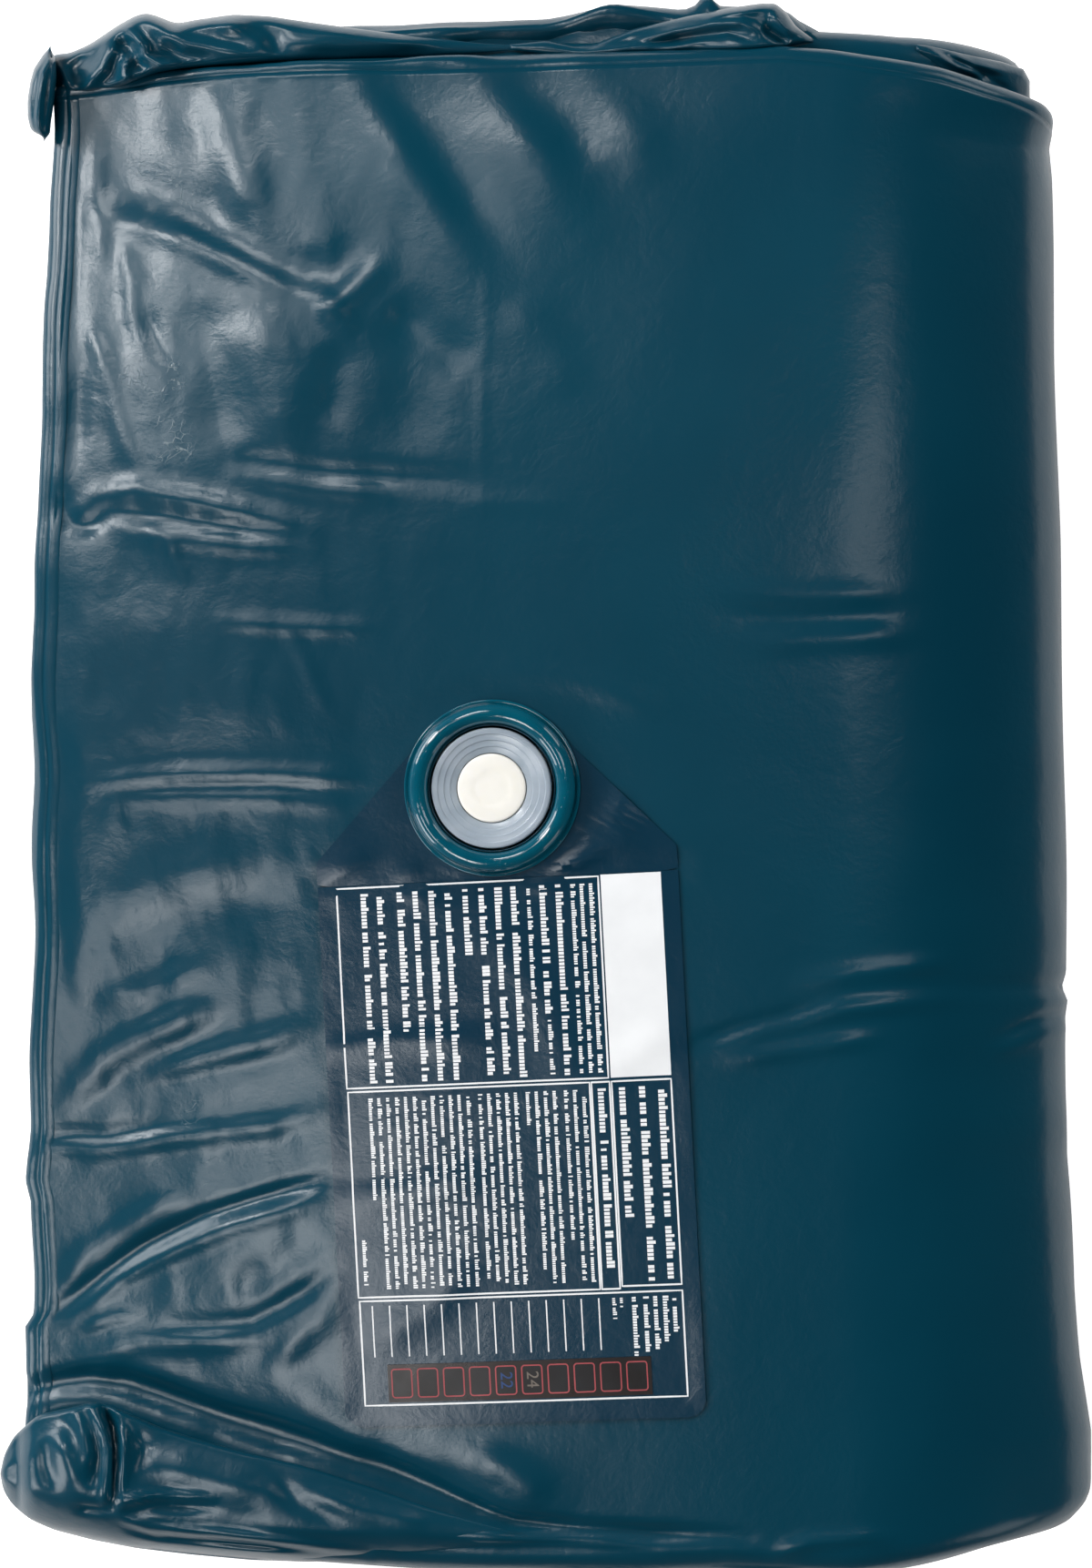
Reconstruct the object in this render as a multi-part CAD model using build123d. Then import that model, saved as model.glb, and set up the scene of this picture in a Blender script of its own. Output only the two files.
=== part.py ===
from build123d import *
import math
import os

# Drained water core of a waterbed, folded in three along its length and then in half across its width.
# The folded bundle lies on its lower half. +Z is up, +X points at the round half fold, +Y at the head end.
# The origin is the centre of the bundle's footprint, on the floor. All lengths are millimetres.

# The bundle
HALF_WIDTH = 229.0          # origin to the half fold, and to the edges of the lower layers
HALF_LENGTH = 336.0         # origin to each end loop
CUT_OVERRUN = 5.0           # how far a cutter runs past what it cuts
SOFT_GAP = 0.15             # between plies and sheets that lie on each other
BODY_GAP = 0.3              # between pieces that move apart

# The welded envelope
SHEET = 0.6                 # vinyl sheet
LEAF = 14.4                 # one folded layer of the core: two sheets with the fleece between
LEAF_GAP = 0.9              # air between two folded layers
HEAD_SETBACK = 36.0         # how far the outermost layer's head end stops short of the head loop
FOOT_SETBACK = 22.0         # how far the innermost layer's foot end stops short of the foot loop
UPPER_SETBACK = 9.0         # how far the upper layers' edges stop short of the lower layers' edges

# The half fold, measured on the innermost surface
FOLD_TIGHT_RADIUS = 5.0
FOLD_TIGHT_ANGLE = 145.0    # degrees turned on the tight radius
FOLD_CROWN_RADIUS = 90.0
UPPER_SLOPE = 3.9           # degrees that the upper half sinks towards the open edges

# The seam that joins the upper edge band to the deck sheet
SEAM_WIDTH = 4.0
SEAM_HEIGHT = 0.3
SEAM_INSET = 5.0

# The fleece that stills the water
PLIES = 3
TIE_WIDTH = 30.0
TIE_THICK = 1.0
TIE_INSET = 60.0
TIE_REACH = 4.0             # how far a tie stands out of the fleece towards the edge band

# The fill valve
VALVE_X = -22.7
VALVE_Y = -1.7
VALVE_FLOOR_GAP = 1.65      # below the neck, inside the outermost layer
BOOT_RADIUS = 27.0          # outside of the rolling sleeve
BOOT_WALL = 0.7
BOOT_RISE = 3.0             # how far its wall stands up inside the collar
DECK_HOLE_GAP = 1.2         # between the sleeve and the deck sheet's hole
FLANGE_WIDTH = 9.8
FLANGE_THICK = 0.8
COLLAR_BEAD_RADIUS = 4.8
COLLAR_BEAD_HEIGHT = 2.0    # centre of the bead above the deck
COLLAR_FOOT_WIDTH = 3.8
COLLAR_BRIM_REACH = 0.65    # how far the thin brim stands out past the bead
COLLAR_BRIM_THICK = 0.9
NECK_BORE_RADIUS = 13.5
NECK_WALL = 3.5
NECK_THREAD_HEIGHT = 3.0    # how far the threaded part stands out past the barrel
NECK_TOP = 0.6              # rim above the deck
NECK_FLANGE_REACH = 2.5
NECK_FLANGE_THICK = 1.1
RING_BOOT_GAP = 0.9         # between the screw ring and the sleeve
RING_SKIRT = 8.7            # depth of the skirt below the web
RING_WEB = 2.0
RING_STEP_DEPTH = 0.4
RING_STEPS = 3
RING_ROUND = 0.8
WASHER_THICK = 1.4
WASHER_RIM = 0.3            # how far the washer stops short of the threaded part's outside
STOPPER_HEAD_REACH = 1.0    # how far the head overlaps the neck's rim
STOPPER_HEAD = 2.8
STOPPER_ROUND = 0.8
STOPPER_FIT = 0.2           # radial clearance of the stopper in the neck
STOPPER_LENGTH = 6.1
STOPPER_WALL = 2.6
SEAL_RADIUS = 0.8           # cross-section of the stopper's seal
SEAL_DEPTH = 3.4            # seal below the neck's rim
SEAL_FIT = 0.1
SEAL_SIDES = 8

# The instruction tag that hangs round the valve
TAG_TURN = 3.0              # degrees that it lies turned, anticlockwise
TAG_THICK = 0.4
TAG_HALF_WIDTH = 76.5
TAG_MARGIN = 66.3           # its far edge to the foot loop
TAG_SHOULDER = 28.0         # valve centre to where its sides start
TAG_TUCK = 1.4              # how far its round head stays inside the collar's brim
TAG_CORNER = 8.0
TAG_SHOULDER_ROUND = 6.0
TAG_FOLD_GAP = 0.9          # from the brim to the line where it bends up
TAG_CREASE = 0.6            # gap at that line
PRINT_THICK = 0.1
PANEL_WIDTH, PANEL_LENGTH = 25.5, 85.5      # the pale title panel
PANEL_EDGE_GAP = 7.7
PANEL_FOLD_GAP = 0.5
STRIP_LENGTH, STRIP_WIDTH = 111.7, 16.0     # the thermometer strip
STRIP_THICK = 0.25
STRIP_EDGE_GAP = 10.2       # to the tag's far edge
STRIP_OFFSET = -1.6         # its middle, across the tag
WINDOWS = 10
WINDOW_PITCH = 11.08
WINDOW_WIDTH, WINDOW_HEIGHT = 8.0, 11.5
WINDOW_ROUND = 1.0
WINDOW_FRAME = 0.6

# The corners of the bag that are turned over on the bundle
FOOT_ROLL_LENGTH = 262.0
FOOT_ROLL_HEIGHT = 20.0
FOOT_ROLL_TAG_GAP = 8.3     # how much narrower than the strip of deck below the tag
HEAD_ROLL_LENGTH = 190.0
HEAD_ROLL_HEIGHT = 14.0
HEAD_ROLL_BAND_GAP = 0.65   # to the outermost layer's end band
ROLL_OVERHANG = 6.0         # how far a turned corner stands out past the upper edges
ROLL_EDGE = 1.5             # a turned corner's outer edge, beyond the flat of the layer
ROLL_STATION_SHARES = (0.0, 0.12, 0.4, 0.64, 0.82, 1.0)
ROLL_WIDTH_SHARES = (0.72, 1.0, 0.86, 0.55, 0.28, 0.1)
ROLL_HEIGHT_SHARES = (0.5, 1.0, 0.9, 0.6, 0.32, 0.1)

# Worked out from the sizes above
PITCH = LEAF + LEAF_GAP
STACK = 3 * LEAF + 2 * LEAF_GAP
LOOP_RADIUS = PITCH / 2
NOSE_RADIUS = LEAF / 2
MIDDLE_A, MIDDLE_B, MIDDLE_C = LEAF / 2, LEAF / 2 + PITCH, LEAF / 2 + 2 * PITCH
LOOP_REACH = LOOP_RADIUS + NOSE_RADIUS
LOOP_Y = HALF_LENGTH - LOOP_REACH
HEAD_Y = HALF_LENGTH - HEAD_SETBACK - NOSE_RADIUS
FOOT_Y = HALF_LENGTH - FOOT_SETBACK - NOSE_RADIUS
FLAT_START_X = NOSE_RADIUS - HALF_WIDTH
TIGHT_X = HALF_WIDTH - STACK - FOLD_TIGHT_RADIUS
CROWN_ANGLE = 180 - FOLD_TIGHT_ANGLE + UPPER_SLOPE
UPPER_END_X = FLAT_START_X + UPPER_SETBACK
SLOPE = math.radians(UPPER_SLOPE)

DECK_HOLE_RADIUS = BOOT_RADIUS + DECK_HOLE_GAP
FLANGE_RADIUS = DECK_HOLE_RADIUS + FLANGE_WIDTH
BOOT_DEPTH = LEAF - SHEET - VALVE_FLOOR_GAP - NECK_FLANGE_THICK - SOFT_GAP
BOOT_FLOOR_TOP = BOOT_WALL - BOOT_DEPTH
COLLAR_INNER = BOOT_RADIUS + SOFT_GAP
COLLAR_MIDDLE = COLLAR_INNER + COLLAR_BEAD_RADIUS
COLLAR_BRIM_RADIUS = COLLAR_MIDDLE + COLLAR_BEAD_RADIUS + COLLAR_BRIM_REACH
COLLAR_FOOT_RADIUS = COLLAR_INNER + COLLAR_FOOT_WIDTH
NECK_RADIUS = NECK_BORE_RADIUS + NECK_WALL
NECK_THREAD_RADIUS = NECK_RADIUS + NECK_THREAD_HEIGHT
NECK_FLANGE_RADIUS = NECK_RADIUS + NECK_FLANGE_REACH
NECK_BOTTOM = -BOOT_DEPTH - SOFT_GAP - NECK_FLANGE_THICK
STOPPER_HEAD_RADIUS = NECK_BORE_RADIUS + STOPPER_HEAD_REACH
STOPPER_LOW = NECK_TOP - STOPPER_LENGTH
SHANK_RADIUS = NECK_BORE_RADIUS - STOPPER_FIT
SEAL_MIDDLE = NECK_BORE_RADIUS - SEAL_FIT - SEAL_RADIUS
SEAL_Z = NECK_TOP - SEAL_DEPTH
RING_RADIUS = BOOT_RADIUS - BOOT_WALL - RING_BOOT_GAP
RING_HOLE_RADIUS = STOPPER_HEAD_RADIUS + BODY_GAP
WASHER_BORE_RADIUS = RING_HOLE_RADIUS + SOFT_GAP
WASHER_RADIUS = NECK_THREAD_RADIUS - WASHER_RIM
WASHER_LOW = NECK_TOP + SOFT_GAP
WEB_LOW = WASHER_LOW + WASHER_THICK + SOFT_GAP
WEB_TOP = WEB_LOW + RING_WEB

TAG_TOP = BODY_GAP + TAG_THICK
TAG_FOLD = COLLAR_BRIM_RADIUS + TAG_FOLD_GAP
TAG_HEAD_RADIUS = COLLAR_BRIM_RADIUS - TAG_TUCK
TAG_LENGTH = HALF_LENGTH + VALVE_Y - TAG_MARGIN


def ahead(plane, step):
    """The plane after a straight (length,) or a bend (radius, angle) about a centre behind its x direction."""
    if len(step) == 1:
        return Plane(origin=plane.origin + plane.z_dir * step[0], x_dir=plane.x_dir, z_dir=plane.z_dir)
    radius, angle = step
    way = plane.y_dir * (-1 if radius > 0 else 1)
    spin = math.radians(angle)
    centre = plane.origin - plane.x_dir * radius
    x_dir = plane.x_dir * math.cos(spin) + way.cross(plane.x_dir) * math.sin(spin)
    z_dir = plane.z_dir * math.cos(spin) + way.cross(plane.z_dir) * math.sin(spin)
    return Plane(origin=centre + x_dir * radius, x_dir=x_dir, z_dir=z_dir)


def end_plane(plane, steps):
    """Where a path of such steps ends."""
    for step in steps:
        plane = ahead(plane, step)
    return plane


def carry(section, start, steps):
    """A flat section carried along a path of straights and bends."""
    path = []
    plane = start
    for step in steps:
        end = ahead(plane, step)
        if len(step) == 1:
            path.append(Line(plane.origin, end.origin))
        else:
            half_way = ahead(plane, (step[0], step[1] / 2))
            path.append(ThreePointArc(plane.origin, half_way.origin, end.origin))
        plane = end
    return sweep(start * section, path=Wire(path), clean=False)


def wrap_steps():
    """The half fold's path: along the lower half, round the fold, and back along the upper half."""
    bends = [(FOLD_TIGHT_RADIUS, FOLD_TIGHT_ANGLE), (FOLD_CROWN_RADIUS, CROWN_ANGLE)]
    flat = [(TIGHT_X - FLAT_START_X,)]
    crown_end = end_plane(WRAP_START, flat + bends).origin.X
    return flat + bends + [((crown_end - UPPER_END_X) / math.cos(SLOPE),)]


WRAP_START = Plane(origin=(FLAT_START_X, 0, STACK), x_dir=(0, 0, -1), z_dir=(1, 0, 0))
WRAP = wrap_steps()
WRAP_END = end_plane(WRAP_START, WRAP)

ZIGZAG = [
    (FOOT_Y + LOOP_Y,),
    (LOOP_RADIUS, 180),
    (2 * LOOP_Y,),
    (-LOOP_RADIUS, 180),
    (LOOP_Y + HEAD_Y,),
]


def zigzag_edges(offset):
    """The three-fold's centre line moved sideways, from the innermost layer's foot to the outermost layer's head."""
    a, b, c = MIDDLE_A - offset, MIDDLE_B + offset, MIDDLE_C - offset
    head = LOOP_RADIUS + offset
    foot = LOOP_RADIUS - offset
    return [
        Line((a, -FOOT_Y), (a, LOOP_Y)),
        ThreePointArc((a, LOOP_Y), ((a + b) / 2, LOOP_Y + head), (b, LOOP_Y)),
        Line((b, LOOP_Y), (b, -LOOP_Y)),
        ThreePointArc((b, -LOOP_Y), ((b + c) / 2, -LOOP_Y - foot), (c, -LOOP_Y)),
        Line((c, -LOOP_Y), (c, HEAD_Y)),
    ]


def zigzag_band(low, high):
    """The area between two offsets of the three-fold's centre line, in thickness and length."""
    ends = [
        Line((MIDDLE_A - low, -FOOT_Y), (MIDDLE_A - high, -FOOT_Y)),
        Line((MIDDLE_C - low, HEAD_Y), (MIDDLE_C - high, HEAD_Y)),
    ]
    return make_face(zigzag_edges(low) + zigzag_edges(high) + ends)


def half_ring(outer, inner, side):
    """Half of a ring about the origin, on the side of y that side gives."""
    ring = Circle(outer) - Circle(inner)
    return ring & (Pos(0, side * outer) * Rectangle(3 * outer, 2 * outer))


def valve_plane():
    """The deck plane under the valve, with its z direction out of the bundle."""
    up = WRAP_END.x_dir
    along = -WRAP_END.z_dir
    run = (VALVE_X - WRAP_END.origin.X) / math.cos(SLOPE) + STACK * math.tan(SLOPE)
    origin = WRAP_END.origin + up * STACK + along * run + Vector(0, VALVE_Y, 0)
    return Plane(origin=origin, x_dir=along, z_dir=up)


VALVE = valve_plane()
TAG = Plane(VALVE.location * Rot(0, 0, TAG_TURN))


def turned_section(points):
    """A solid of revolution about the valve's axis from (radius, height) points."""
    outline = Plane.XZ * make_face(Polyline(*points, close=True))
    return VALVE * revolve(outline, Axis.Z)


def tube(radius, bore, low, high):
    return turned_section([(bore, low), (radius, low), (radius, high), (bore, high)])


def drum(radius, low, high):
    return turned_section([(0, low), (radius, low), (radius, high), (0, high)])


def envelope_sheets():
    outside, inside = NOSE_RADIUS, NOSE_RADIUS - SHEET
    deck = carry(zigzag_band(-outside, -inside), WRAP_START, WRAP)
    base = carry(zigzag_band(inside, outside), WRAP_START, WRAP)
    deck -= drum(DECK_HOLE_RADIUS, -SHEET - SOFT_GAP, CUT_OVERRUN)
    return {"deck_sheet": deck, "base_sheet": base}


def band_start(wrap_plane):
    """Where an edge band starts on the open edge: at the innermost layer's foot, heading for the head."""
    origin = wrap_plane.origin + wrap_plane.x_dir * MIDDLE_A - Vector(0, FOOT_Y, 0)
    return Plane(origin=origin, x_dir=-wrap_plane.x_dir, z_dir=(0, 1, 0))


def edge_bands():
    outside, inside = NOSE_RADIUS, NOSE_RADIUS - SHEET
    lower = carry(half_ring(outside, inside, -1), band_start(WRAP_START), ZIGZAG)
    upper = carry(half_ring(outside, inside, 1), band_start(WRAP_END), ZIGZAG)
    head = carry(Pos(MIDDLE_C, HEAD_Y) * half_ring(outside, inside, 1), WRAP_START, WRAP)
    foot = carry(Pos(MIDDLE_A, -FOOT_Y) * half_ring(outside, inside, -1), WRAP_START, WRAP)
    return {
        "lower_side_band": lower,
        "upper_side_band": upper,
        "head_end_band": head,
        "foot_end_band": foot,
    }


def corner_patch(plane, middle, end_y, outward):
    """A quarter of a hollow ball that closes a corner of the bag where an end band meets a side band."""
    side = 1 if end_y > 0 else -1
    section = plane * (Pos(middle, end_y) * half_ring(NOSE_RADIUS, NOSE_RADIUS - SHEET, side))
    centre = plane.origin + plane.x_dir * middle + Vector(0, end_y, 0)
    quarter = 90 * side * outward
    return revolve(section, axis=Axis(centre, plane.x_dir * (1 if quarter > 0 else -1)), revolution_arc=90)


def corner_patches():
    patches = [
        corner_patch(plane, middle, end_y, outward)
        for plane, outward in ((WRAP_START, -1), (WRAP_END, 1))
        for middle, end_y in ((MIDDLE_C, HEAD_Y), (MIDDLE_A, -FOOT_Y))
    ]
    return {"corner_patches": Compound(children=patches)}


def side_seam():
    """The raised weld along the upper edge of the deck sheet."""
    low = STACK
    strip = Pos(low + SEAM_HEIGHT / 2, 0) * Rectangle(SEAM_HEIGHT, 2 * HEAD_Y)
    start = Plane(
        origin=WRAP_END.origin - WRAP_END.z_dir * (SEAM_INSET + SEAM_WIDTH),
        x_dir=WRAP_END.x_dir,
        z_dir=WRAP_END.z_dir,
    )
    return {"side_seam": carry(strip, start, [(SEAM_WIDTH,)])}


def valve_pocket():
    """The room that the fleece leaves for the valve."""
    wide = drum(FLANGE_RADIUS + SOFT_GAP, -SHEET - FLANGE_THICK - SOFT_GAP, CUT_OVERRUN)
    deep = drum(DECK_HOLE_RADIUS + SOFT_GAP, NECK_BOTTOM - SOFT_GAP, CUT_OVERRUN)
    return wide + deep


def fleece_plies():
    """Plies of fleece that follow the three-fold between the sheets."""
    room = 2 * (NOSE_RADIUS - SHEET - SOFT_GAP)
    thick = (room - (PLIES - 1) * SOFT_GAP) / PLIES
    pocket = valve_pocket()
    plies = {}
    for number in range(PLIES):
        low = -room / 2 + number * (thick + SOFT_GAP)
        ply = carry(zigzag_band(low, low + thick), WRAP_START, WRAP)
        plies[f"fleece_ply_{number + 1}"] = ply - pocket
    return plies


def fleece_tie(plane, outward, y):
    """A flat strap round the fleece's edge in the outermost layer, which holds the plies together."""
    reach = NOSE_RADIUS - SHEET - SOFT_GAP
    outer = plane.x_dir * MIDDLE_C + Vector(0, y, 0)
    strap = Plane(origin=plane.origin + outer, x_dir=plane.x_dir, z_dir=plane.z_dir * outward)
    plate = Rectangle(2 * (reach - TIE_REACH), TIE_WIDTH)
    return extrude(strap.offset(SOFT_GAP) * plate, amount=TIE_THICK, dir=strap.z_dir)


def fleece_ties():
    places = (TIE_INSET - LOOP_Y, HEAD_Y - TIE_INSET)
    ties = [fleece_tie(p, way, y) for p, way in ((WRAP_START, -1), (WRAP_END, 1)) for y in places]
    return {"fleece_ties": Compound(children=ties)}


def valve_collar():
    """The glossy bead round the valve, on a foot that leaves room for the tag below its brim."""
    bead = Pos(COLLAR_MIDDLE, COLLAR_BEAD_HEIGHT) * Circle(COLLAR_BEAD_RADIUS)
    below = COLLAR_BEAD_HEIGHT + COLLAR_BEAD_RADIUS
    lip = TAG_TOP + BODY_GAP
    bead -= Pos(COLLAR_MIDDLE, lip - below) * Rectangle(4 * COLLAR_BEAD_RADIUS, 2 * below)
    foot = Pos((COLLAR_INNER + COLLAR_FOOT_RADIUS) / 2, (lip + COLLAR_BEAD_HEIGHT) / 2)
    foot_height = lip + COLLAR_BEAD_HEIGHT
    brim = Pos((COLLAR_MIDDLE + COLLAR_BRIM_RADIUS) / 2, lip + COLLAR_BRIM_THICK / 2)
    section = bead + foot * Rectangle(COLLAR_FOOT_WIDTH, foot_height)
    section += brim * Rectangle(COLLAR_BRIM_RADIUS - COLLAR_MIDDLE, COLLAR_BRIM_THICK)
    section &= Pos(COLLAR_MIDDLE, below) * Rectangle(4 * COLLAR_BEAD_RADIUS, 2 * below)
    return VALVE * revolve(Plane.XZ * section, Axis.Z)


def valve_boot():
    """The soft sleeve that rolls up when the neck is pulled out, with a floor that holds the neck."""
    inner = BOOT_RADIUS - BOOT_WALL
    hole = NECK_RADIUS + SOFT_GAP
    return turned_section(
        [
            (hole, -BOOT_DEPTH),
            (BOOT_RADIUS, -BOOT_DEPTH),
            (BOOT_RADIUS, BOOT_RISE),
            (inner, BOOT_RISE),
            (inner, BOOT_FLOOR_TOP),
            (hole, BOOT_FLOOR_TOP),
        ]
    )


def valve_neck():
    flange_top = NECK_BOTTOM + NECK_FLANGE_THICK
    barrel_low = BOOT_FLOOR_TOP + SOFT_GAP
    return turned_section(
        [
            (NECK_BORE_RADIUS, NECK_BOTTOM),
            (NECK_FLANGE_RADIUS, NECK_BOTTOM),
            (NECK_FLANGE_RADIUS, flange_top),
            (NECK_RADIUS, flange_top),
            (NECK_RADIUS, barrel_low),
            (NECK_THREAD_RADIUS, barrel_low),
            (NECK_THREAD_RADIUS, NECK_TOP),
            (NECK_BORE_RADIUS, NECK_TOP),
        ]
    )


def screw_ring():
    """The ring that screws down on the neck, dished in steps towards the stopper."""
    web = tube(RING_RADIUS, RING_HOLE_RADIUS, WEB_LOW, WEB_TOP)
    skirt = tube(RING_RADIUS, NECK_THREAD_RADIUS + BODY_GAP, WEB_LOW - RING_SKIRT, WEB_LOW)
    step_width = (RING_RADIUS - RING_HOLE_RADIUS) / (RING_STEPS + 1)
    ring = web + skirt
    for number in range(RING_STEPS):
        radius = RING_RADIUS - (number + 1) * step_width
        ring -= drum(radius, WEB_TOP - (number + 1) * RING_STEP_DEPTH, WEB_TOP + CUT_OVERRUN)
    rim = ring.edges().filter_by(GeomType.CIRCLE).filter_by(
        lambda edge: abs(edge.radius - RING_RADIUS) < SOFT_GAP
    )
    return fillet(rim.sort_by(Axis(VALVE.origin, VALVE.z_dir))[-1], min(RING_ROUND, RING_WEB / 2))


def ring_washer():
    return tube(WASHER_RADIUS, WASHER_BORE_RADIUS, WASHER_LOW, WASHER_LOW + WASHER_THICK)


def stopper():
    """The plug in the neck: a round-edged head on a hollow shank with a groove for its seal."""
    head_low = NECK_TOP + SOFT_GAP
    groove = SEAL_RADIUS + SOFT_GAP
    head = drum(STOPPER_HEAD_RADIUS, head_low, head_low + STOPPER_HEAD)
    top = head.edges().sort_by(Axis(VALVE.origin, VALVE.z_dir))[-1]
    head = fillet(top, STOPPER_ROUND)
    shank = tube(SHANK_RADIUS, SHANK_RADIUS - STOPPER_WALL, STOPPER_LOW, head_low)
    return head + shank - tube(STOPPER_HEAD_RADIUS, SEAL_MIDDLE - groove, SEAL_Z - groove, SEAL_Z + groove)


def stopper_seal():
    ring = Pos(SEAL_MIDDLE, SEAL_Z) * RegularPolygon(SEAL_RADIUS, SEAL_SIDES)
    return VALVE * revolve(Plane.XZ * ring, Axis.Z)


def valve_pieces():
    return {
        "valve_flange": tube(FLANGE_RADIUS, DECK_HOLE_RADIUS, -SHEET - FLANGE_THICK, -SHEET),
        "valve_boot": valve_boot(),
        "valve_collar": valve_collar(),
        "valve_neck": valve_neck(),
        "ring_washer": ring_washer(),
        "screw_ring": screw_ring(),
        "stopper": stopper(),
        "stopper_seal": stopper_seal(),
    }


def tag_outline():
    """The tag's outline with its round head about the valve; x runs across it and y up it."""
    gap = math.hypot(TAG_HALF_WIDTH, TAG_SHOULDER)
    tangent = math.acos(TAG_HEAD_RADIUS / gap)
    bearing = math.atan2(-TAG_SHOULDER, TAG_HALF_WIDTH) + tangent
    touch_x, touch_y = TAG_HEAD_RADIUS * math.cos(bearing), TAG_HEAD_RADIUS * math.sin(bearing)
    shoulder, far = -TAG_SHOULDER, -TAG_LENGTH
    outline = make_face(
        [
            Line((-TAG_HALF_WIDTH, shoulder), (-TAG_HALF_WIDTH, far)),
            Line((-TAG_HALF_WIDTH, far), (TAG_HALF_WIDTH, far)),
            Line((TAG_HALF_WIDTH, far), (TAG_HALF_WIDTH, shoulder)),
            Line((TAG_HALF_WIDTH, shoulder), (touch_x, touch_y)),
            ThreePointArc((touch_x, touch_y), (0, TAG_HEAD_RADIUS), (-touch_x, touch_y)),
            Line((-touch_x, touch_y), (-TAG_HALF_WIDTH, shoulder)),
        ]
    )
    by_height = outline.vertices().sort_by(Axis.Y)
    outline = fillet(by_height[:2], TAG_CORNER)
    shoulders = outline.vertices().filter_by(lambda v: abs(v.Y - shoulder) < SOFT_GAP)
    return fillet(shoulders, TAG_SHOULDER_ROUND)


def on_tag(sketch, low, thick):
    return extrude(TAG.offset(low) * sketch, amount=thick, dir=TAG.z_dir)


def strip_of_tag(low, high):
    """The part of the plane between two distances from the valve, down the tag."""
    return Pos(0, -(low + high) / 2) * Rectangle(4 * TAG_HALF_WIDTH, high - low)


def tag_rectangle(left, right, top, bottom):
    return Pos((left + right) / 2, -(top + bottom) / 2) * Rectangle(right - left, bottom - top)


def window_row(width, height, rounding):
    """One rounded rectangle at each window of the thermometer strip."""
    first = STRIP_OFFSET - (WINDOWS - 1) / 2 * WINDOW_PITCH
    middle = STRIP_EDGE_GAP + STRIP_WIDTH / 2 - TAG_LENGTH
    return [
        Pos(first + number * WINDOW_PITCH, middle) * RectangleRounded(width, height, rounding)
        for number in range(WINDOWS)
    ]


def tag_print():
    """The title panel, and the thermometer strip with its windows and their frames."""
    right = TAG_HALF_WIDTH - PANEL_EDGE_GAP
    top = TAG_FOLD + PANEL_FOLD_GAP
    panel = tag_rectangle(right - PANEL_WIDTH, right, top, top + PANEL_LENGTH)
    left = STRIP_OFFSET - STRIP_LENGTH / 2
    bottom = TAG_LENGTH - STRIP_EDGE_GAP
    strip = tag_rectangle(left, left + STRIP_LENGTH, bottom - STRIP_WIDTH, bottom)
    strip_top = TAG_TOP + STRIP_THICK
    windows = window_row(WINDOW_WIDTH, WINDOW_HEIGHT, WINDOW_ROUND)
    outer = window_row(
        WINDOW_WIDTH + 2 * WINDOW_FRAME, WINDOW_HEIGHT + 2 * WINDOW_FRAME, WINDOW_ROUND + WINDOW_FRAME
    )
    frames = [whole - hole for whole, hole in zip(outer, windows)]
    return {
        "title_panel": on_tag(panel, TAG_TOP, PRINT_THICK),
        "thermometer_strip": on_tag(strip, TAG_TOP, STRIP_THICK),
        "thermometer_windows": Compound(children=[on_tag(w, strip_top, PRINT_THICK) for w in windows]),
        "thermometer_frames": Compound(children=[on_tag(f, strip_top, PRINT_THICK) for f in frames]),
    }


def tag_pieces():
    outline = tag_outline()
    crease = TAG_CREASE / 2
    head = outline & strip_of_tag(-TAG_LENGTH, TAG_FOLD - crease)
    head -= Circle(COLLAR_FOOT_RADIUS + BODY_GAP)
    leaf = outline & strip_of_tag(TAG_FOLD + crease, 2 * TAG_LENGTH)
    sheets = {
        "tag_head": on_tag(head, BODY_GAP, TAG_THICK),
        "tag_leaf": on_tag(leaf, BODY_GAP, TAG_THICK),
    }
    return sheets | tag_print()


def turned_corner(height, edge_y, inward, length, width, rise):
    """A corner of the bag turned over on a layer: a swollen roll that tapers away from the open edge."""
    origin = WRAP_END.origin + WRAP_END.x_dir * (height + BODY_GAP)
    open_edge = Plane(origin=origin, x_dir=(0, 1, 0), z_dir=-WRAP_END.z_dir)
    sections = []
    for along, wide, high in zip(ROLL_STATION_SHARES, ROLL_WIDTH_SHARES, ROLL_HEIGHT_SHARES):
        far_y = edge_y + inward * width * wide
        arc = ThreePointArc((far_y, 0), ((edge_y + far_y) / 2, rise * high), (edge_y, 0))
        station = open_edge.offset(along * length - ROLL_OVERHANG)
        sections.append(station * make_face([Line((edge_y, 0), (far_y, 0)), arc]))
    return loft(sections, ruled=True)


def corner_rolls():
    """The foot corner lies on the upper deck; the head corner lies on the shelf beyond the outer layer."""
    edge_y = LOOP_Y + ROLL_EDGE
    foot_width = TAG_MARGIN - FOOT_ROLL_TAG_GAP
    head_width = edge_y - (HALF_LENGTH - HEAD_SETBACK) - HEAD_ROLL_BAND_GAP
    shelf = MIDDLE_B + NOSE_RADIUS
    return {
        "foot_corner_roll": turned_corner(STACK, -edge_y, 1, FOOT_ROLL_LENGTH, foot_width, FOOT_ROLL_HEIGHT),
        "head_corner_roll": turned_corner(shelf, edge_y, -1, HEAD_ROLL_LENGTH, head_width, HEAD_ROLL_HEIGHT),
    }


def main():
    os.makedirs("parts", exist_ok=True)
    pieces = {}
    for group in (
        envelope_sheets,
        edge_bands,
        corner_patches,
        side_seam,
        fleece_plies,
        fleece_ties,
        valve_pieces,
        tag_pieces,
        corner_rolls,
    ):
        pieces.update(group())
    for name, piece in pieces.items():
        export_step(piece, f"parts/{name}.step")
    print("valve origin", VALVE.origin, "axis", VALVE.z_dir)
    print("tag axes", TAG.x_dir, TAG.y_dir)


main()
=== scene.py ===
"""A drained water core of teal vinyl, folded in three and then in half, with its valve and its tag."""

import math
import random
from collections import namedtuple

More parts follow.
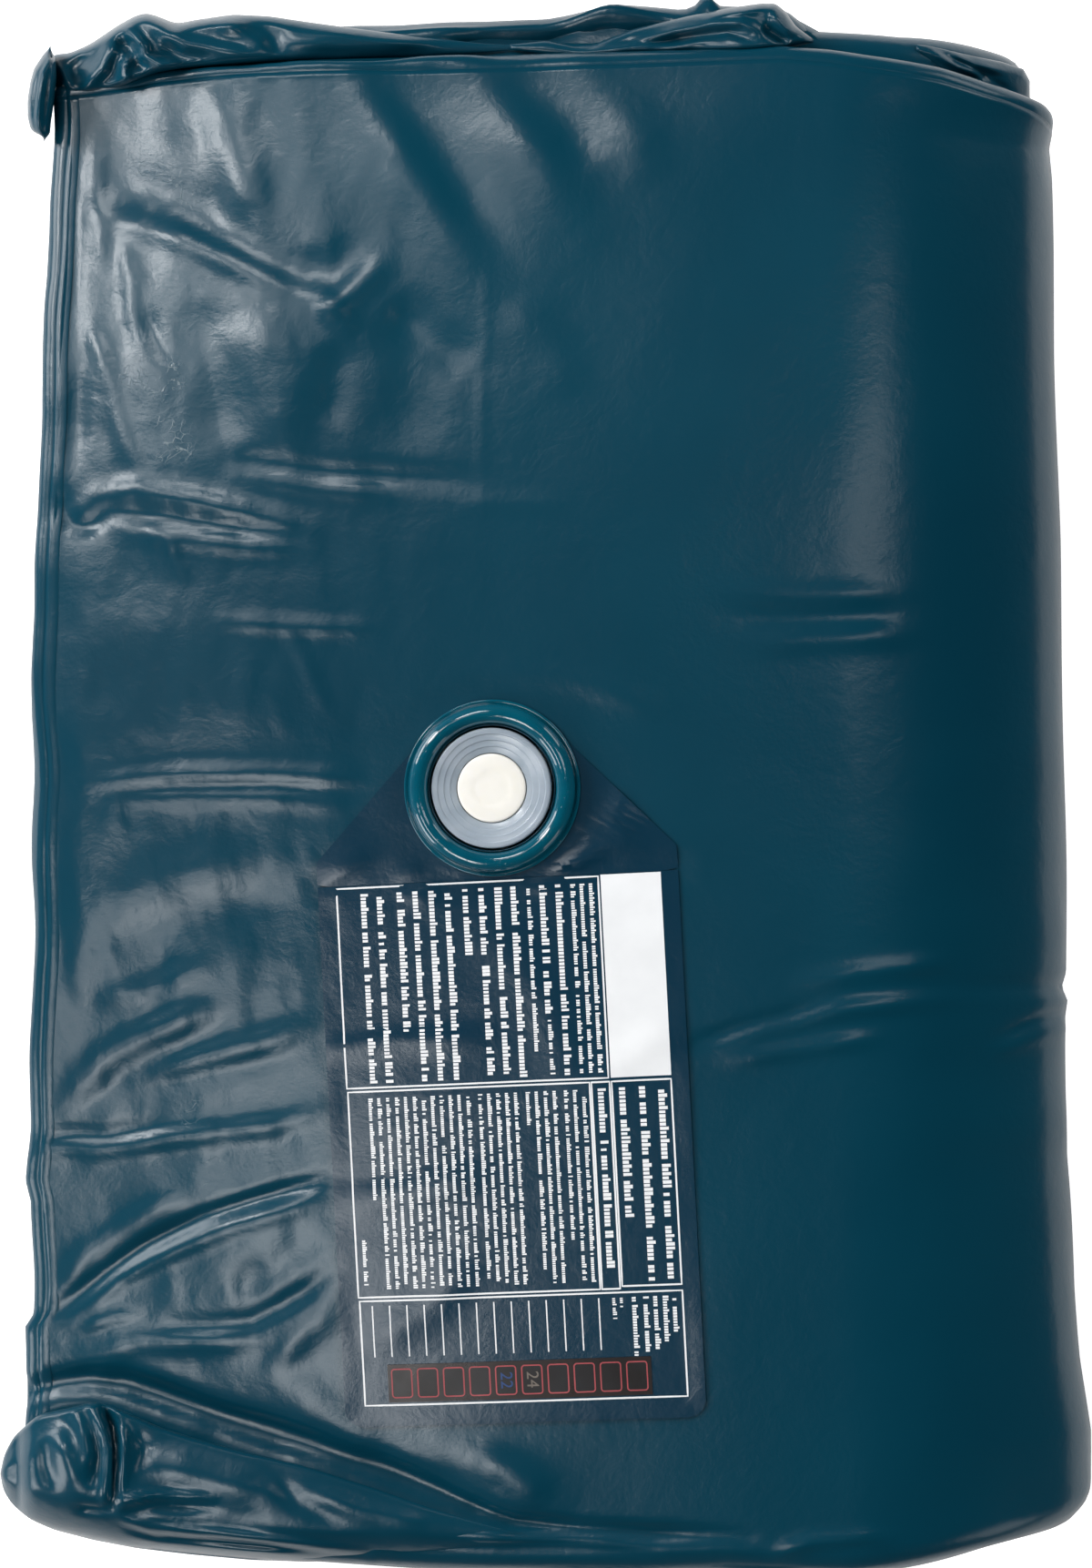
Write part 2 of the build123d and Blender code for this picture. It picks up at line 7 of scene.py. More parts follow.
import bmesh
import bpy
import numpy as np
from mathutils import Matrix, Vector


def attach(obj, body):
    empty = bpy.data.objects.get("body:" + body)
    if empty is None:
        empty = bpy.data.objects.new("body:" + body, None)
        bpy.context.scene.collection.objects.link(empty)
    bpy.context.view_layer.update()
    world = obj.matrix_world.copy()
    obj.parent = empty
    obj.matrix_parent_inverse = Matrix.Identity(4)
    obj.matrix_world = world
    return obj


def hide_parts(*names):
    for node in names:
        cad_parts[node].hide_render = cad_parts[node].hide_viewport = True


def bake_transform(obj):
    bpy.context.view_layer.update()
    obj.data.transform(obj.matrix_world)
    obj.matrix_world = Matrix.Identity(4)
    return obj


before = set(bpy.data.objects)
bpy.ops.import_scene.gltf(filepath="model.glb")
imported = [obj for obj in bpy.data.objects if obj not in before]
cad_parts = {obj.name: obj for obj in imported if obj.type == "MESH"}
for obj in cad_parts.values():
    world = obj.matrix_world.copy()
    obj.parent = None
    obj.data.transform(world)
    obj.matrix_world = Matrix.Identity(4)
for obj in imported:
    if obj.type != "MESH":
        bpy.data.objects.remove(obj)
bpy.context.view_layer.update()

MM = 0.001

# the folded core, in millimetres, as the part's source has it
HALF_WIDTH = 229.0
SHEET = 0.6
PITCH = 15.3
STACK = 45.0
HALVES_MEET = 47.0
NOSE = 7.2
LOOP = PITCH / 2
LOOP_Y = 321.15
HEAD_Y = 292.8
FOOT_Y = 306.8
SHELF_SEEN_Y = 262.0
MIDDLES = (7.2, 22.5, 37.8)
FLAT_START = NOSE - HALF_WIDTH
SLOPE = math.radians(3.9)
UPPER_START_X = 124.124
UPPER_END_X = -212.8
SHELF_FLOOR = 0.4 - PITCH
VALVE = np.array((-22.7, -1.7, 105.259))
VALVE_UP = np.array((-math.sin(SLOPE), 0, math.cos(SLOPE)))
VALVE_RIGHT = np.array((math.cos(SLOPE), 0, math.sin(SLOPE)))
TOWARDS_HEAD = np.array((0, 1, 0))

# the outer leaf is what lies above this layer; a loop's top is just passed at this turn, in radians
OUTER_LAYER = 30.3
LOOP_TOP = 1.6

# the side weld's middle, in from the deck sheet's edge
WELD_IN = 3.6

# the half fold's two bends: their middle, inner radius and turn
Bend = namedtuple("Bend", "x z radius turn")
TIGHT = Bend(x=179.0, z=50.0, radius=5.0, turn=math.radians(145))
CROWN = Bend(x=130.244, z=-19.631, radius=90.0, turn=math.radians(38.9))

# runs along the outside of the half fold: lower half, tight bend, crown, upper half
RUNS = (
    TIGHT.x - FLAT_START,
    (TIGHT.radius + STACK) * TIGHT.turn,
    (CROWN.radius + STACK) * CROWN.turn,
    (UPPER_START_X - UPPER_END_X) / math.cos(SLOPE),
)
BEND_AT, CROWN_AT, UPPER_AT, WRAP_LENGTH = np.cumsum(RUNS)

# the photo: a pixel's size on the deck round the valve, and places in pixels
PIXEL = 0.385
PHOTO_MIDDLE = (600.0, 861.5)
VALVE_PHOTO = (543, 867)
FOOT_ROW = 1716.0
LEFT_COLUMN = 33.0
EYE_HEIGHT = 920.0 + VALVE[2]
LENS = 50.0
SENSOR = 36.0


def smooth(x, low, high):
    """0 at low and below, 1 at high and above, eased between; low may be the larger."""
    u = np.clip((np.asarray(x, float) - low) / (high - low), 0, 1)
    return u * u * (3 - 2 * u)


def to_photo(points):
    """Where the camera sees points, as photo pixels."""
    scale = PIXEL * (EYE_HEIGHT - points[..., 2]) / (EYE_HEIGHT - VALVE[2])
    return PHOTO_MIDDLE[0] + points[..., 0] / scale, PHOTO_MIDDLE[1] - points[..., 1] / scale


def from_photo(px, py, z):
    """Points at height z that the camera sees at photo pixels."""
    scale = PIXEL * (EYE_HEIGHT - z) / (EYE_HEIGHT - VALVE[2])
    return np.stack(((px - PHOTO_MIDDLE[0]) * scale, (PHOTO_MIDDLE[1] - py) * scale, z), -1)


def deck_height(x):
    """Height of the upper half's deck at x."""
    return VALVE[2] + math.tan(SLOPE) * (x - VALVE[0])


def wrap(s, t):
    """Point and frame on the half fold: s along its outside, t out from its inside."""
    s, t = np.broadcast_arrays(np.asarray(s, float), np.asarray(t, float))
    flat = s < BEND_AT
    tight = s < CROWN_AT
    bend = (s - BEND_AT) / (TIGHT.radius + STACK)
    crown = TIGHT.turn + (s - CROWN_AT) / (CROWN.radius + STACK)
    turn = np.where(flat, 0, np.where(tight, bend, np.minimum(crown, TIGHT.turn + CROWN.turn)))
    out = np.stack((np.sin(turn), 0 * turn, -np.cos(turn)), -1)
    along = np.stack((np.cos(turn), 0 * turn, np.sin(turn)), -1)
    hub_x = np.where(flat, FLAT_START + s, np.where(tight, TIGHT.x, CROWN.x))
    hub_z = np.where(tight, TIGHT.z, CROWN.z)
    radius = np.where(tight, TIGHT.radius, CROWN.radius) + t
    beyond = np.maximum(s - UPPER_AT, 0)
    x = hub_x + radius * out[..., 0] + beyond * along[..., 0]
    z = hub_z + radius * out[..., 2] + beyond * along[..., 2]
    return np.stack((x, 0 * x, z), -1), along, out


# wrinkles of the deck: height in mm, width in photo pixels, and the line they follow in photo pixels
DECK_WRINKLES = (
    (-2.2, 26, ((70, 196), (92, 204), (153, 220), (230, 254), (318, 296), (352, 322))),
    (1.6, 12, ((84, 236), (110, 244), (191, 266), (268, 298), (340, 330))),
    (1.3, 13, ((340, 330), (372, 336), (398, 312), (424, 292))),
    (0.9, 14, ((352, 330), (374, 352), (392, 372))),
    (-1.3, 22, ((372, 378), (372, 430), (356, 470))),
    (-1.6, 24, ((430, 330), (470, 372), (520, 404))),
    (-1.2, 16, ((330, 290), (366, 300), (398, 270))),
    (0.8, 9, ((111, 260), (130, 306), (134, 344), (161, 398))),
    (0.9, 10, ((77, 345), (108, 408), (121, 459), (140, 517))),
    (-1.0, 10, ((143, 338), (160, 370), (175, 402))),
    (-1.5, 13, ((72, 300), (73, 430), (70, 530))),
    (-2.0, 9, ((60, 535), (63, 562), (74, 577), (92, 577), (110, 566))),
    (1.7, 12, ((84, 558), (98, 545), (143, 538), (207, 549), (303, 571), (340, 581))),
    (-1.1, 9, ((118, 561), (191, 570), (300, 587))),
    (1.0, 11, ((124, 581), (191, 592), (271, 600), (345, 603))),
    (-1.2, 12, ((250, 505), (351, 520), (430, 526), (520, 528))),
    (0.8, 11, ((262, 519), (351, 534), (450, 542))),
    (0.9, 9, ((240, 683), (320, 688), (410, 691))),
    (0.6, 6, ((179, 587), (190, 615), (204, 638))),
    (0.5, 8, ((313, 686), (340, 735), (364, 791))),
    (0.2, 5, ((536, 290), (530, 420), (527, 570))),
    (0.35, 10, ((500, 556), (560, 553), (620, 554))),
    (1.1, 15, ((440, 780), (500, 758), (560, 745), (640, 752), (714, 775))),
    (-1.5, 9, ((50, 1250), (90, 1248), (119, 1249), (179, 1238))),
    (1.8, 11, ((40, 1276), (72, 1260), (111, 1264), (179, 1252), (298, 1237), (350, 1220))),
    (1.5, 13, ((60, 1420), (99, 1374), (159, 1334), (215, 1307))),
    (-3.4, 8, ((56, 1444), (99, 1414), (159, 1370), (222, 1338), (278, 1320), (372, 1292))),
    (1.6, 9, ((80, 1456), (131, 1405), (199, 1371), (260, 1346), (350, 1320))),
    (1.2, 8, ((95, 1462), (125, 1450), (155, 1448))),
    (-2.0, 11, ((175, 1462), (230, 1460), (278, 1453), (338, 1418), (372, 1390))),
    (1.8, 14, ((90, 1500), (159, 1478), (220, 1474), (290, 1472))),
    (1.2, 14, ((300, 1500), (330, 1470), (368, 1440))),
    (-1.6, 6, ((1090, 1140), (1130, 1122), (1175, 1108))),
    (1.0, 9, ((1085, 1156), (1130, 1138), (1175, 1124))),
    (-1.6, 18, ((60, 560), (58, 760), (56, 940), (55, 1100))),
    (-1.5, 9, ((60, 160), (62, 300), (58, 420))),
    (1.2, 10, ((82, 160), (84, 200), (96, 300))),
    (-1.2, 30, ((180, 120), (200, 190), (240, 250))),
    (-2.4, 8, ((110, 96), (200, 91), (300, 87), (385, 84), (500, 75))),
    (1.8, 6, ((64, 106), (150, 102), (280, 100), (385, 98), (520, 86), (600, 74))),
    (0.7, 26, ((560, 330), (600, 380), (630, 440))),
    (-1.1, 26, ((280, 110), (300, 200), (320, 280))),
    (0.9, 26, ((232, 110), (250, 180), (275, 245))),
    (-1.2, 34, ((200, 330), (230, 420), (250, 500))),
    (1.0, 34, ((270, 340), (300, 430), (310, 500))),
    (-1.0, 30, ((440, 330), (450, 420), (440, 500))),
    (-1.6, 26, ((250, 1420), (300, 1400), (350, 1350))),
    (1.2, 22, ((240, 1500), (330, 1530), (420, 1590))),
    (-1.3, 20, ((390, 1580), (450, 1590), (520, 1640))),
    (1.4, 18, ((520, 1590), (560, 1610), (600, 1650))),
    (-8.5, 14, ((20, 1558), (37, 1548), (67, 1533), (103, 1526), (143, 1529), (200, 1549), (250, 1566),
                (300, 1579), (350, 1593), (417, 1613), (480, 1639), (520, 1655))),
    (-4.5, 9, ((440, 1620), (500, 1646), (564, 1671), (640, 1681), (702, 1686), (817, 1696))),
    (2.6, 9, ((407, 1712), (416, 1694), (447, 1685), (514, 1683), (620, 1686), (720, 1692), (817, 1704))),
    (-1.8, 6, ((440, 1700), (514, 1694), (620, 1697), (720, 1702))),
    (2.0, 7, ((845, 1710), (880, 1696), (930, 1690), (960, 1700))),
    (1.0, 30, ((420, 1570), (520, 1610), (640, 1650))),
    (-1.0, 30, ((60, 1120), (130, 1090), (210, 1040))),
    (0.9, 26, ((110, 1000), (200, 960), (300, 940))),
    (-0.8, 24, ((120, 1040), (220, 1000), (330, 980))),
    (1.3, 26, ((345, 92), (400, 135), (445, 200), (495, 265), (530, 310))),
    (-1.5, 25, ((415, 95), (462, 150), (512, 220), (560, 290))),
    (1.4, 27, ((490, 80), (545, 140), (600, 205), (640, 260))),
    (-1.0, 25, ((560, 85), (610, 140), (660, 200))),
    (0.9, 27, ((620, 80), (680, 150), (730, 215))),
    (1.3, 12, ((92, 860), (200, 852), (300, 851), (400, 858))),
    (-0.9, 6, ((120, 868), (200, 863), (300, 863), (400, 870))),
    (0.6, 9, ((125, 880), (200, 876), (300, 877), (390, 888))),
    (0.9, 14, ((100, 1100), (160, 1088), (235, 1058))),
    (1.7, 15, ((78, 1208), (118, 1158), (172, 1132), (245, 1101))),
    (-0.8, 12, ((90, 1224), (140, 1180), (190, 1157), (245, 1130))),
    (1.3, 14, ((150, 1178), (240, 1158), (300, 1143), (352, 1117))),
    (-0.7, 11, ((160, 1196), (250, 1174), (310, 1158))),
    (0.7, 11, ((790, 650), (880, 654), (1000, 653))),
    (0.9, 12, ((830, 708), (900, 703), (1000, 697))),
    (-0.8, 12, ((800, 680), (900, 680), (990, 676))),
    (-1.7, 8, ((750, 1152), (780, 1140), (840, 1122), (900, 1108))),
    (1.5, 9, ((790, 1146), (850, 1126), (930, 1108), (1040, 1096))),
    (1.4, 9, ((800, 1164), (880, 1152), (960, 1140))),
    (1.3, 10, ((880, 1080), (950, 1068), (1040, 1056))),
)

# broad hollows and swells of the deck: height in mm, middle and half widths in photo pixels
DECK_SWELLS = (
    (1.6, 330, 390, 90, 90),
    (1.2, 250, 760, 130, 90),
    (2.0, 300, 1390, 90, 70),
    (-2.0, 560, 120, 220, 60),
    (1.4, 760, 560, 160, 300),
)

# broad hollows that the whole upper half has sunk into
SUNK = (
    (-9.0, 60, 130, 160, 200),
    (-4.0, 60, 430, 120, 260),
    (-7.0, 30, 1340, 230, 190),
    (-5.0, 120, 1560, 240, 110),
    (-2.5, 560, 90, 260, 70),
    (-3.0, 1060, 1140, 130, 60),
)

# how far the photo's outline stands off the plain fold, in mm, at photo pixels
LEFT_SHIFT = (
    (0, 7), (150, 8), (250, 7), (380, 4.5), (500, 3), (700, 1), (1100, 0.5), (1239, 0), (1299, -2.2),
    (1322, 0), (1446, -1), (1461, -4.5), (1485, -4), (1537, -4), (1620, -4), (1723, -3),
)
RIGHT_SHIFT = (
    (0, 2), (105, 2), (128, -3), (150, -5), (184, -4), (400, -2.5), (595, 0), (780, 1.2), (1068, 2.6),
    (1084, 0.8), (1099, 3.4), (1118, 2.4), (1267, 2.8), (1313, 4), (1413, 6), (1500, 9), (1600, 14),
    (1723, 15),
)
LEAF_HEAD_SHIFT = (
    (0, 4), (65, 5.5), (153, 9), (250, 10.5), (383, 10.5), (500, 10.5), (600, 11), (860, 11), (910, 9),
    (950, 6.5), (1029, 3), (1078, -1), (1132, -4), (1200, -8),
)
LOOP_HEAD_SHIFT = (
    (0, -14), (60, -14), (105, -9), (142, -2), (190, -5), (260, -1), (350, -5), (480, -4), (600, -3),
    (665, 1), (749, -2), (774, 0), (849, 0.5), (864, -2), (891, -11), (983, -14), (1060, -13),
    (1110, -13), (1140, -18), (1200, -22),
)
FOOT_SHIFT = (
    (0, -24), (24, -18), (56, -14), (139, -7), (300, -1), (530, 1), (713, 0), (794, -2), (920, -1),
    (960, -3), (1046, -9), (1161, -15), (1200, -19),
)


def curve_of(table, at):
    """A value between the points of a table."""
    return np.interp(at, *np.array(table, float).T)


def waves(a, b, seed, count=14, slow=0.5, fast=2.0):
    """Smooth waves over two coordinates in units of their wavelength, about -1 to 1."""
    pick = random.Random(seed)
    total = 0
    weight = 0
    for _ in range(count):
        pace = slow * (fast / slow) ** pick.random()
        way = pick.uniform(0, math.pi)
        share = pace ** -0.6
        total = total + share * np.sin(
            math.tau * pace * (a * math.cos(way) + b * math.sin(way)) + pick.uniform(0, math.tau)
        )
        weight += share * share
    return total / math.sqrt(weight / 2) / 2


def nearest_on(line, x, y):
    """How far points are from a bent line, how far along it they are, and its length."""
    steps = np.hypot(*np.diff(line, axis=0).T)
    starts = np.concatenate(((0,), np.cumsum(steps)))
    best = np.full(x.shape, 1e9)
    place = np.zeros(x.shape)
    for i, step in enumerate(steps):
        d = (line[i + 1] - line[i]) / step
        u = np.clip((x - line[i, 0]) * d[0] + (y - line[i, 1]) * d[1], 0, step)
        off = np.hypot(x - line[i, 0] - u * d[0], y - line[i, 1] - u * d[1])
        closer = off < best
        best = np.where(closer, off, best)
        place = np.where(closer, starts[i] + u, place)
    return best, place, starts[-1]


def line_heights(px, py, wrinkles):
    """Sum of the wrinkles at photo pixels."""
    total = np.zeros(px.shape)
    for height, width, line in wrinkles:
        line = np.array(line, float)
        reach = 3.2 * width
        near = (px > line[:, 0].min() - reach) & (px < line[:, 0].max() + reach)
        near &= (py > line[:, 1].min() - reach) & (py < line[:, 1].max() + reach)
        if not near.any():
            continue
        off, place, length = nearest_on(line, px[near], py[near])
        taper = smooth(place / length, -0.12, 0.3) * smooth(place / length, 1.12, 0.7)
        crest = np.exp(-np.power(off / width, 2) * 0.9)
        total[near] += height * taper * crest * (1 + 0.15 * np.cos(place / 23))
    return total


def humps(px, py, table):
    """Sum of round humps of (height, x, y, half width, half height) at photo pixels."""
    total = 0
    for height, x, y, wide, tall in table:
        total = total + height * np.exp(-((px - x) / wide) ** 2 - ((py - y) / tall) ** 2)
    return total


def sunk(px, py):
    """How far the upper half has sunk, in mm."""
    return humps(px, py, SUNK)


# where the tag lies in the photo: where its sides set in, and its fold's middle, slant and half width
TAG_LEFT = (330, 400)
TAG_RIGHT_SIDE = (810, 740)
TAG_TOP = (930, 1000)
TAG_FOOT = (1620, 1560)
FOLD_PHOTO = (547, 965)
FOLD_SLANT = 0.051
FOLD_HALF = (224, 198)


def under_tag(px, py):
    """1 where the tag lies on the deck, and 1 where its fold does."""
    tag = smooth(px, *TAG_LEFT) * smooth(px, *TAG_RIGHT_SIDE) * smooth(py, *TAG_TOP) * smooth(py, *TAG_FOOT)
    across = px - FOLD_PHOTO[0]
    from_fold = np.abs(py - FOLD_PHOTO[1] + FOLD_SLANT * across)
    return tag, smooth(from_fold, 26, 11) * smooth(np.abs(across), *FOLD_HALF)


def deck_relief(px, py):
    """How far the deck stands above its plain plane, in mm; it is calm round the valve and under the tag."""
    total = line_heights(px, py, DECK_WRINKLES) + humps(px, py, DECK_SWELLS)
    left = smooth(px, 620, 200)
    lower_right = smooth(px, 900, 1150) * smooth(np.abs(py - 1120), 420, 60)
    for height, wide, tall, seed in (
        (0.45 * left, 95, 150, 3),
        (0.14 * left, 40, 70, 5),
        (0.25, 170, 260, 7),
        (0.9 * lower_right, 600, 120, 11),
    ):
        total += height * waves(px / wide, py / tall, seed)
    calm = smooth(np.hypot(px - VALVE_PHOTO[0], py - VALVE_PHOTO[1]), 105, 190)
    deepest = 3.7 + 2.6 * smooth(py, 1485, 1520)
    total = np.where(total < 0, -deepest * np.tanh(-total / deepest), total)
    tag, fold = under_tag(px, py)
    return total * calm * (1 - 0.65 * tag) - 0.35 * fold


# folds of the shelf at the head end
SHELF_FOLDS = (
    (-10.0, 8, ((500, 37), (560, 33), (620, 31), (662, 34))),
    (-10.0, 8, ((636, 40), (700, 31), (745, 27))),
    (3.0, 4, ((380, 31), (500, 26), (600, 23), (680, 17), (745, 20))),
    (4.0, 5, ((764, 3), (772, 9), (790, 16))),
    (-6.0, 7, ((890, 50), (940, 54), (1000, 60))),
    (3.5, 5, ((905, 43), (960, 47), (1010, 52))),
    (4.5, 5, ((1017, 52), (1024, 64), (1032, 82))),
    (4.0, 5, ((1026, 56), (1060, 74), (1100, 98))),
    (-8.0, 8, ((1062, 86), (1088, 94), (1124, 110))),
    (3.0, 6, ((1070, 66), (1100, 72), (1122, 80))),
    (3.5, 5, ((1118, 80), (1122, 100), (1120, 118))),
)


def soft_offset(points, normals, layer):
    """How far a point of the folded vinyl is moved along its own normal, in mm."""
    px, py = to_photo(points)
    x, y, z = points[..., 0], points[..., 1], points[..., 2]
    upper = smooth(normals[..., 2], 0.05, 0.5) * smooth(z, 60, 75)
    deck = upper * (layer > OUTER_LAYER)
    shelf = upper * (layer <= OUTER_LAYER) * smooth(y, 270, 292)
    amount = deck * deck_relief(px, py) + shelf * line_heights(px, py, SHELF_FOLDS)
    loop_waves = waves((x + 2 * layer) / 75, (z + y / 2) / 60, 17 + int(np.mean(layer)) % 3)
    side_waves = waves((y + 3 * layer) / 120, z / 40, 29)
    crown_waves = waves(y / 160, z / 90, 31)
    for place, height, pattern in (
        (smooth(np.abs(y), 300, 325), 1.3, loop_waves),
        (smooth(x, -205, -225), 1.1, side_waves),
        (smooth(x, 150, 220), 0.8, crown_waves),
    ):
        amount = amount + place * (1 - deck) * height * pattern
    return amount * np.where(deck > 0, 1, smooth(z, 0.8, 9))


def settled(points, layer):
    """Points of the plain fold moved to the photo's outline."""
    px, py = to_photo(points)
    x, y, z = points[..., 0], points[..., 1], points[..., 2]
    moved = points.copy()
    outer = smooth(layer, 29.0, 31.5)
    ripple = 1.3 * waves(y / 85, layer / 12, 41, slow=0.4, fast=1.6)
    moved[..., 0] += curve_of(LEFT_SHIFT, py) * smooth(x, -90, -215)
    moved[..., 0] += curve_of(RIGHT_SHIFT, py) * smooth(x, 60, 215)
    moved[..., 0] += ripple * smooth(x, -175, -216) * smooth(z, 25, 60)
    moved[..., 1] += outer * curve_of(LEAF_HEAD_SHIFT, px) * smooth(y, 200, 292)
    moved[..., 1] += (1 - outer) * curve_of(LOOP_HEAD_SHIFT, px) * smooth(y, 240, 325)
    moved[..., 1] -= curve_of(FOOT_SHIFT, px) * smooth(y, -230, -325)
    share = np.clip((z - HALVES_MEET) / (deck_height(x) - HALVES_MEET), 0, 1.05)
    moved[..., 2] += sunk(px, py) * share * smooth(x, 160, 60)
    return moved


def bare_points(s, y, t, way, middle):
    """Plain points of the folded vinyl, their normals and their layers.

    way is the normal's share along s, y and t, and middle the height of the leaf's middle in the stack."""
    base, along, out = wrap(s, t)
    points = base.copy()
    points[..., 1] = y
    normals = along * way[0][..., None] + TOWARDS_HEAD * way[1][..., None] + out * way[2][..., None]
    return points, normals, np.broadcast_to(middle, base.shape[:-1])


def dressed(s, y, t, way, middle, depth=0.0):
    """Points of the folded vinyl with its wrinkles, depth under its face."""
    points, normals, layer = bare_points(s, y, t, way, middle)
    amount = soft_offset(points, normals, layer) - depth
    return settled(points + normals * amount[..., None], layer)


def placed(name, data):
    """A new object in the scene."""
    holder = bpy.data.objects.new(name, data)
    bpy.context.scene.collection.objects.link(holder)
    return holder


def faces_of(mesh):
    return [tuple(polygon.vertices) for polygon in mesh.polygons]


def mesh_piece(name, points, faces, material, body="bladder", smooth_faces=True, crisp=None):
    """A mesh object from points in millimetres, with its faces outwards, riding on a body."""
    mesh = bpy.data.meshes.new(name)
    mesh.from_pydata((np.asarray(points, float) * MM).tolist(), [], faces)
    work = bmesh.new()
    work.from_mesh(mesh)
    bmesh.ops.remove_doubles(work, verts=work.verts, dist=0.004 * MM)
    bmesh.ops.recalc_face_normals(work, faces=work.faces)
    work.to_mesh(mesh)
    work.free()
    mesh.update()
    mesh.polygons.foreach_set("use_smooth", [smooth_faces] * len(mesh.polygons))
    if crisp:
        mesh.set_sharp_from_angle(angle=math.radians(crisp))
    mesh.materials.append(material)
    piece = placed(name, mesh)
    if body:
        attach(piece, body)
    return piece


def grid_faces(rows, columns, start=0, closed=False, flip=False):
    """Quads of a grid of points, row by row."""
    faces = []
    for r in range(rows - 1):
        for c in range(columns if closed else columns - 1):
            a = start + r * columns + c
            b = start + r * columns + (c + 1) % columns
            quad = (a, b, b + columns, a + columns)
            faces.append(quad[::-1] if flip else quad)
    return faces


def border(rows, columns, row_picks, column_picks):
    """Indices round a grid's edge, as runs between picked rows and columns."""
    last = (rows - 1) * columns
    top = [list(range(a, b + 1)) for a, b in zip(column_picks, column_picks[1:])]
    side = [list(range(a * columns, b * columns + 1, columns)) for a, b in zip(row_picks, row_picks[1:])]
    runs = top + [[r + columns - 1 for r in run] for run in side]
    runs += [[last + c for c in run[::-1]] for run in top[::-1]]
    return runs + [run[::-1] for run in side[::-1]]


def thick_sheet(outer, inner, row_picks, column_picks):
    """Points and faces of a sheet with a fine outside and a coarse inside on picked rows and columns."""
    rows, columns = outer.shape[:2]
    points = np.concatenate((outer.reshape(-1, 3), inner.reshape(-1, 3)))
    base = rows * columns
    faces = grid_faces(rows, columns)
    faces += grid_faces(len(row_picks), len(column_picks), base, flip=True)
    row_of = {r: i for i, r in enumerate(row_picks)}
    column_of = {c: i for i, c in enumerate(column_picks)}

    def under(index):
        return base + row_of[index // columns] * len(column_picks) + column_of[index % columns]

    for run in border(rows, columns, row_picks, column_picks):
        faces.append((*run[::-1], under(run[0]), under(run[-1])))
    return points, faces


def picks(count, step):
    """Every so many of a count of rows, and always the last."""
    found = list(range(0, count, step))
    if found[-1] != count - 1:
        found.append(count - 1)
    return found


def spaced(*stretches):
    """Values along stretches (start, end, step), each end shared with the next start."""
    values = [stretches[0][0]]
    for start, end, step in stretches:
        count = max(1, round(abs(end - start) / step))
        values += list(np.linspace(start, end, count + 1)[1:])
    return np.array(values)


def lowest_near(amount, reach):
    """The lowest value within a few cells of each cell."""
    best = amount
    for axis in (0, 1):
        current = best
        for step in range(1, reach + 1):
            beside = np.minimum(np.roll(current, step, axis), np.roll(current, -step, axis))
            best = np.minimum(best, beside)
    return best


def three_fold(offset, stretches, loops, relief_turn=0.8):
    """The three-fold's line at an offset across its leaf, from the head end to the foot end.

    stretches has y along the outer, the middle and the inner leaf, and loops the turns round the foot loop
    and the head loop. Up to relief_turn the foot loop counts as the outer leaf. A row has y, t, normal y,
    normal t, and the middle of its leaf."""
    outer, shelf, inner = stretches
    rows = [(y, MIDDLES[2] + offset, 0, 1, MIDDLES[2]) for y in outer]
    for turn in loops[0]:
        y = shelf[0] - (LOOP + offset) * math.sin(turn)
        t = MIDDLES[1] + LOOP + (LOOP + offset) * math.cos(turn)
        rows.append((y, t, -math.sin(turn), math.cos(turn), MIDDLES[2 if turn < relief_turn else 1]))
    rows += [(y, MIDDLES[1] - offset, 0, -1, MIDDLES[1]) for y in shelf[1:]]
    for turn in loops[1]:
        y = shelf[-1] + (LOOP - offset) * math.sin(turn)
        t = MIDDLES[0] + LOOP + (LOOP - offset) * math.cos(turn)
        rows.append((y, t, -math.sin(turn), -math.cos(turn), MIDDLES[1 if turn < LOOP_TOP else 0]))
    rows += [(y, MIDDLES[0] + offset, 0, 1, MIDDLES[0]) for y in inner[1:]]
    return np.array(rows)


def half_turn(step):
    """Turns round a loop, in radians, without the first."""
    return np.radians(spaced((0, 180, step)))[1:]


def folded_profile(outside):
    """The three-fold's line on one side of the leaf, fine where it can be seen."""
    coarse = 40
    inner = spaced((LOOP_Y, -FOOT_Y, coarse))
    if outside:
        stretches = spaced((HEAD_Y, -LOOP_Y, 2.3)), spaced((-LOOP_Y, LOOP_Y, coarse)), inner
        return three_fold(NOSE, stretches, (half_turn(9), half_turn(45)))
    shelf = spaced((-LOOP_Y, SHELF_SEEN_Y, coarse), (SHELF_SEEN_Y, LOOP_Y, 2.6))
    stretches = spaced((HEAD_Y, -LOOP_Y, coarse)), shelf, inner
    return three_fold(-NOSE, stretches, (half_turn(45), half_turn(9))) * (1, 1, -1, -1, 1)


def wrap_stations(fine, coarse):
    """Values of s along the half fold."""
    return spaced(
        (0, BEND_AT, coarse),
        (BEND_AT, CROWN_AT, 2 * fine),
        (CROWN_AT, UPPER_AT, 1.6 * fine),
        (UPPER_AT, WRAP_LENGTH, fine),
    )


def core_sheet(outside, fine):
    """The deck sheet, or the base sheet: both run through the whole three-fold."""
    profile = folded_profile(outside)
    s = wrap_stations(fine, 18)
    zero = np.zeros((len(profile), len(s)))
    y, t, normal_y, normal_t, middle = (column[:, None] + zero for column in profile.T)
    points, normals, layer = bare_points(s[None, :] + zero, y, t, (zero, normal_y, normal_t), middle)
    amount = soft_offset(points, normals, layer)
    outer = settled(points + normals * amount[..., None], layer)
    under = np.maximum(lowest_near(amount, 4), amount - 3.0) - SHEET
    rows, columns = picks(len(profile), 4), picks(len(s), 4)
    picked = np.ix_(rows, columns)
    inner = settled((points + normals * under[..., None])[picked], layer[picked])
    return thick_sheet(outer, inner, rows, columns)


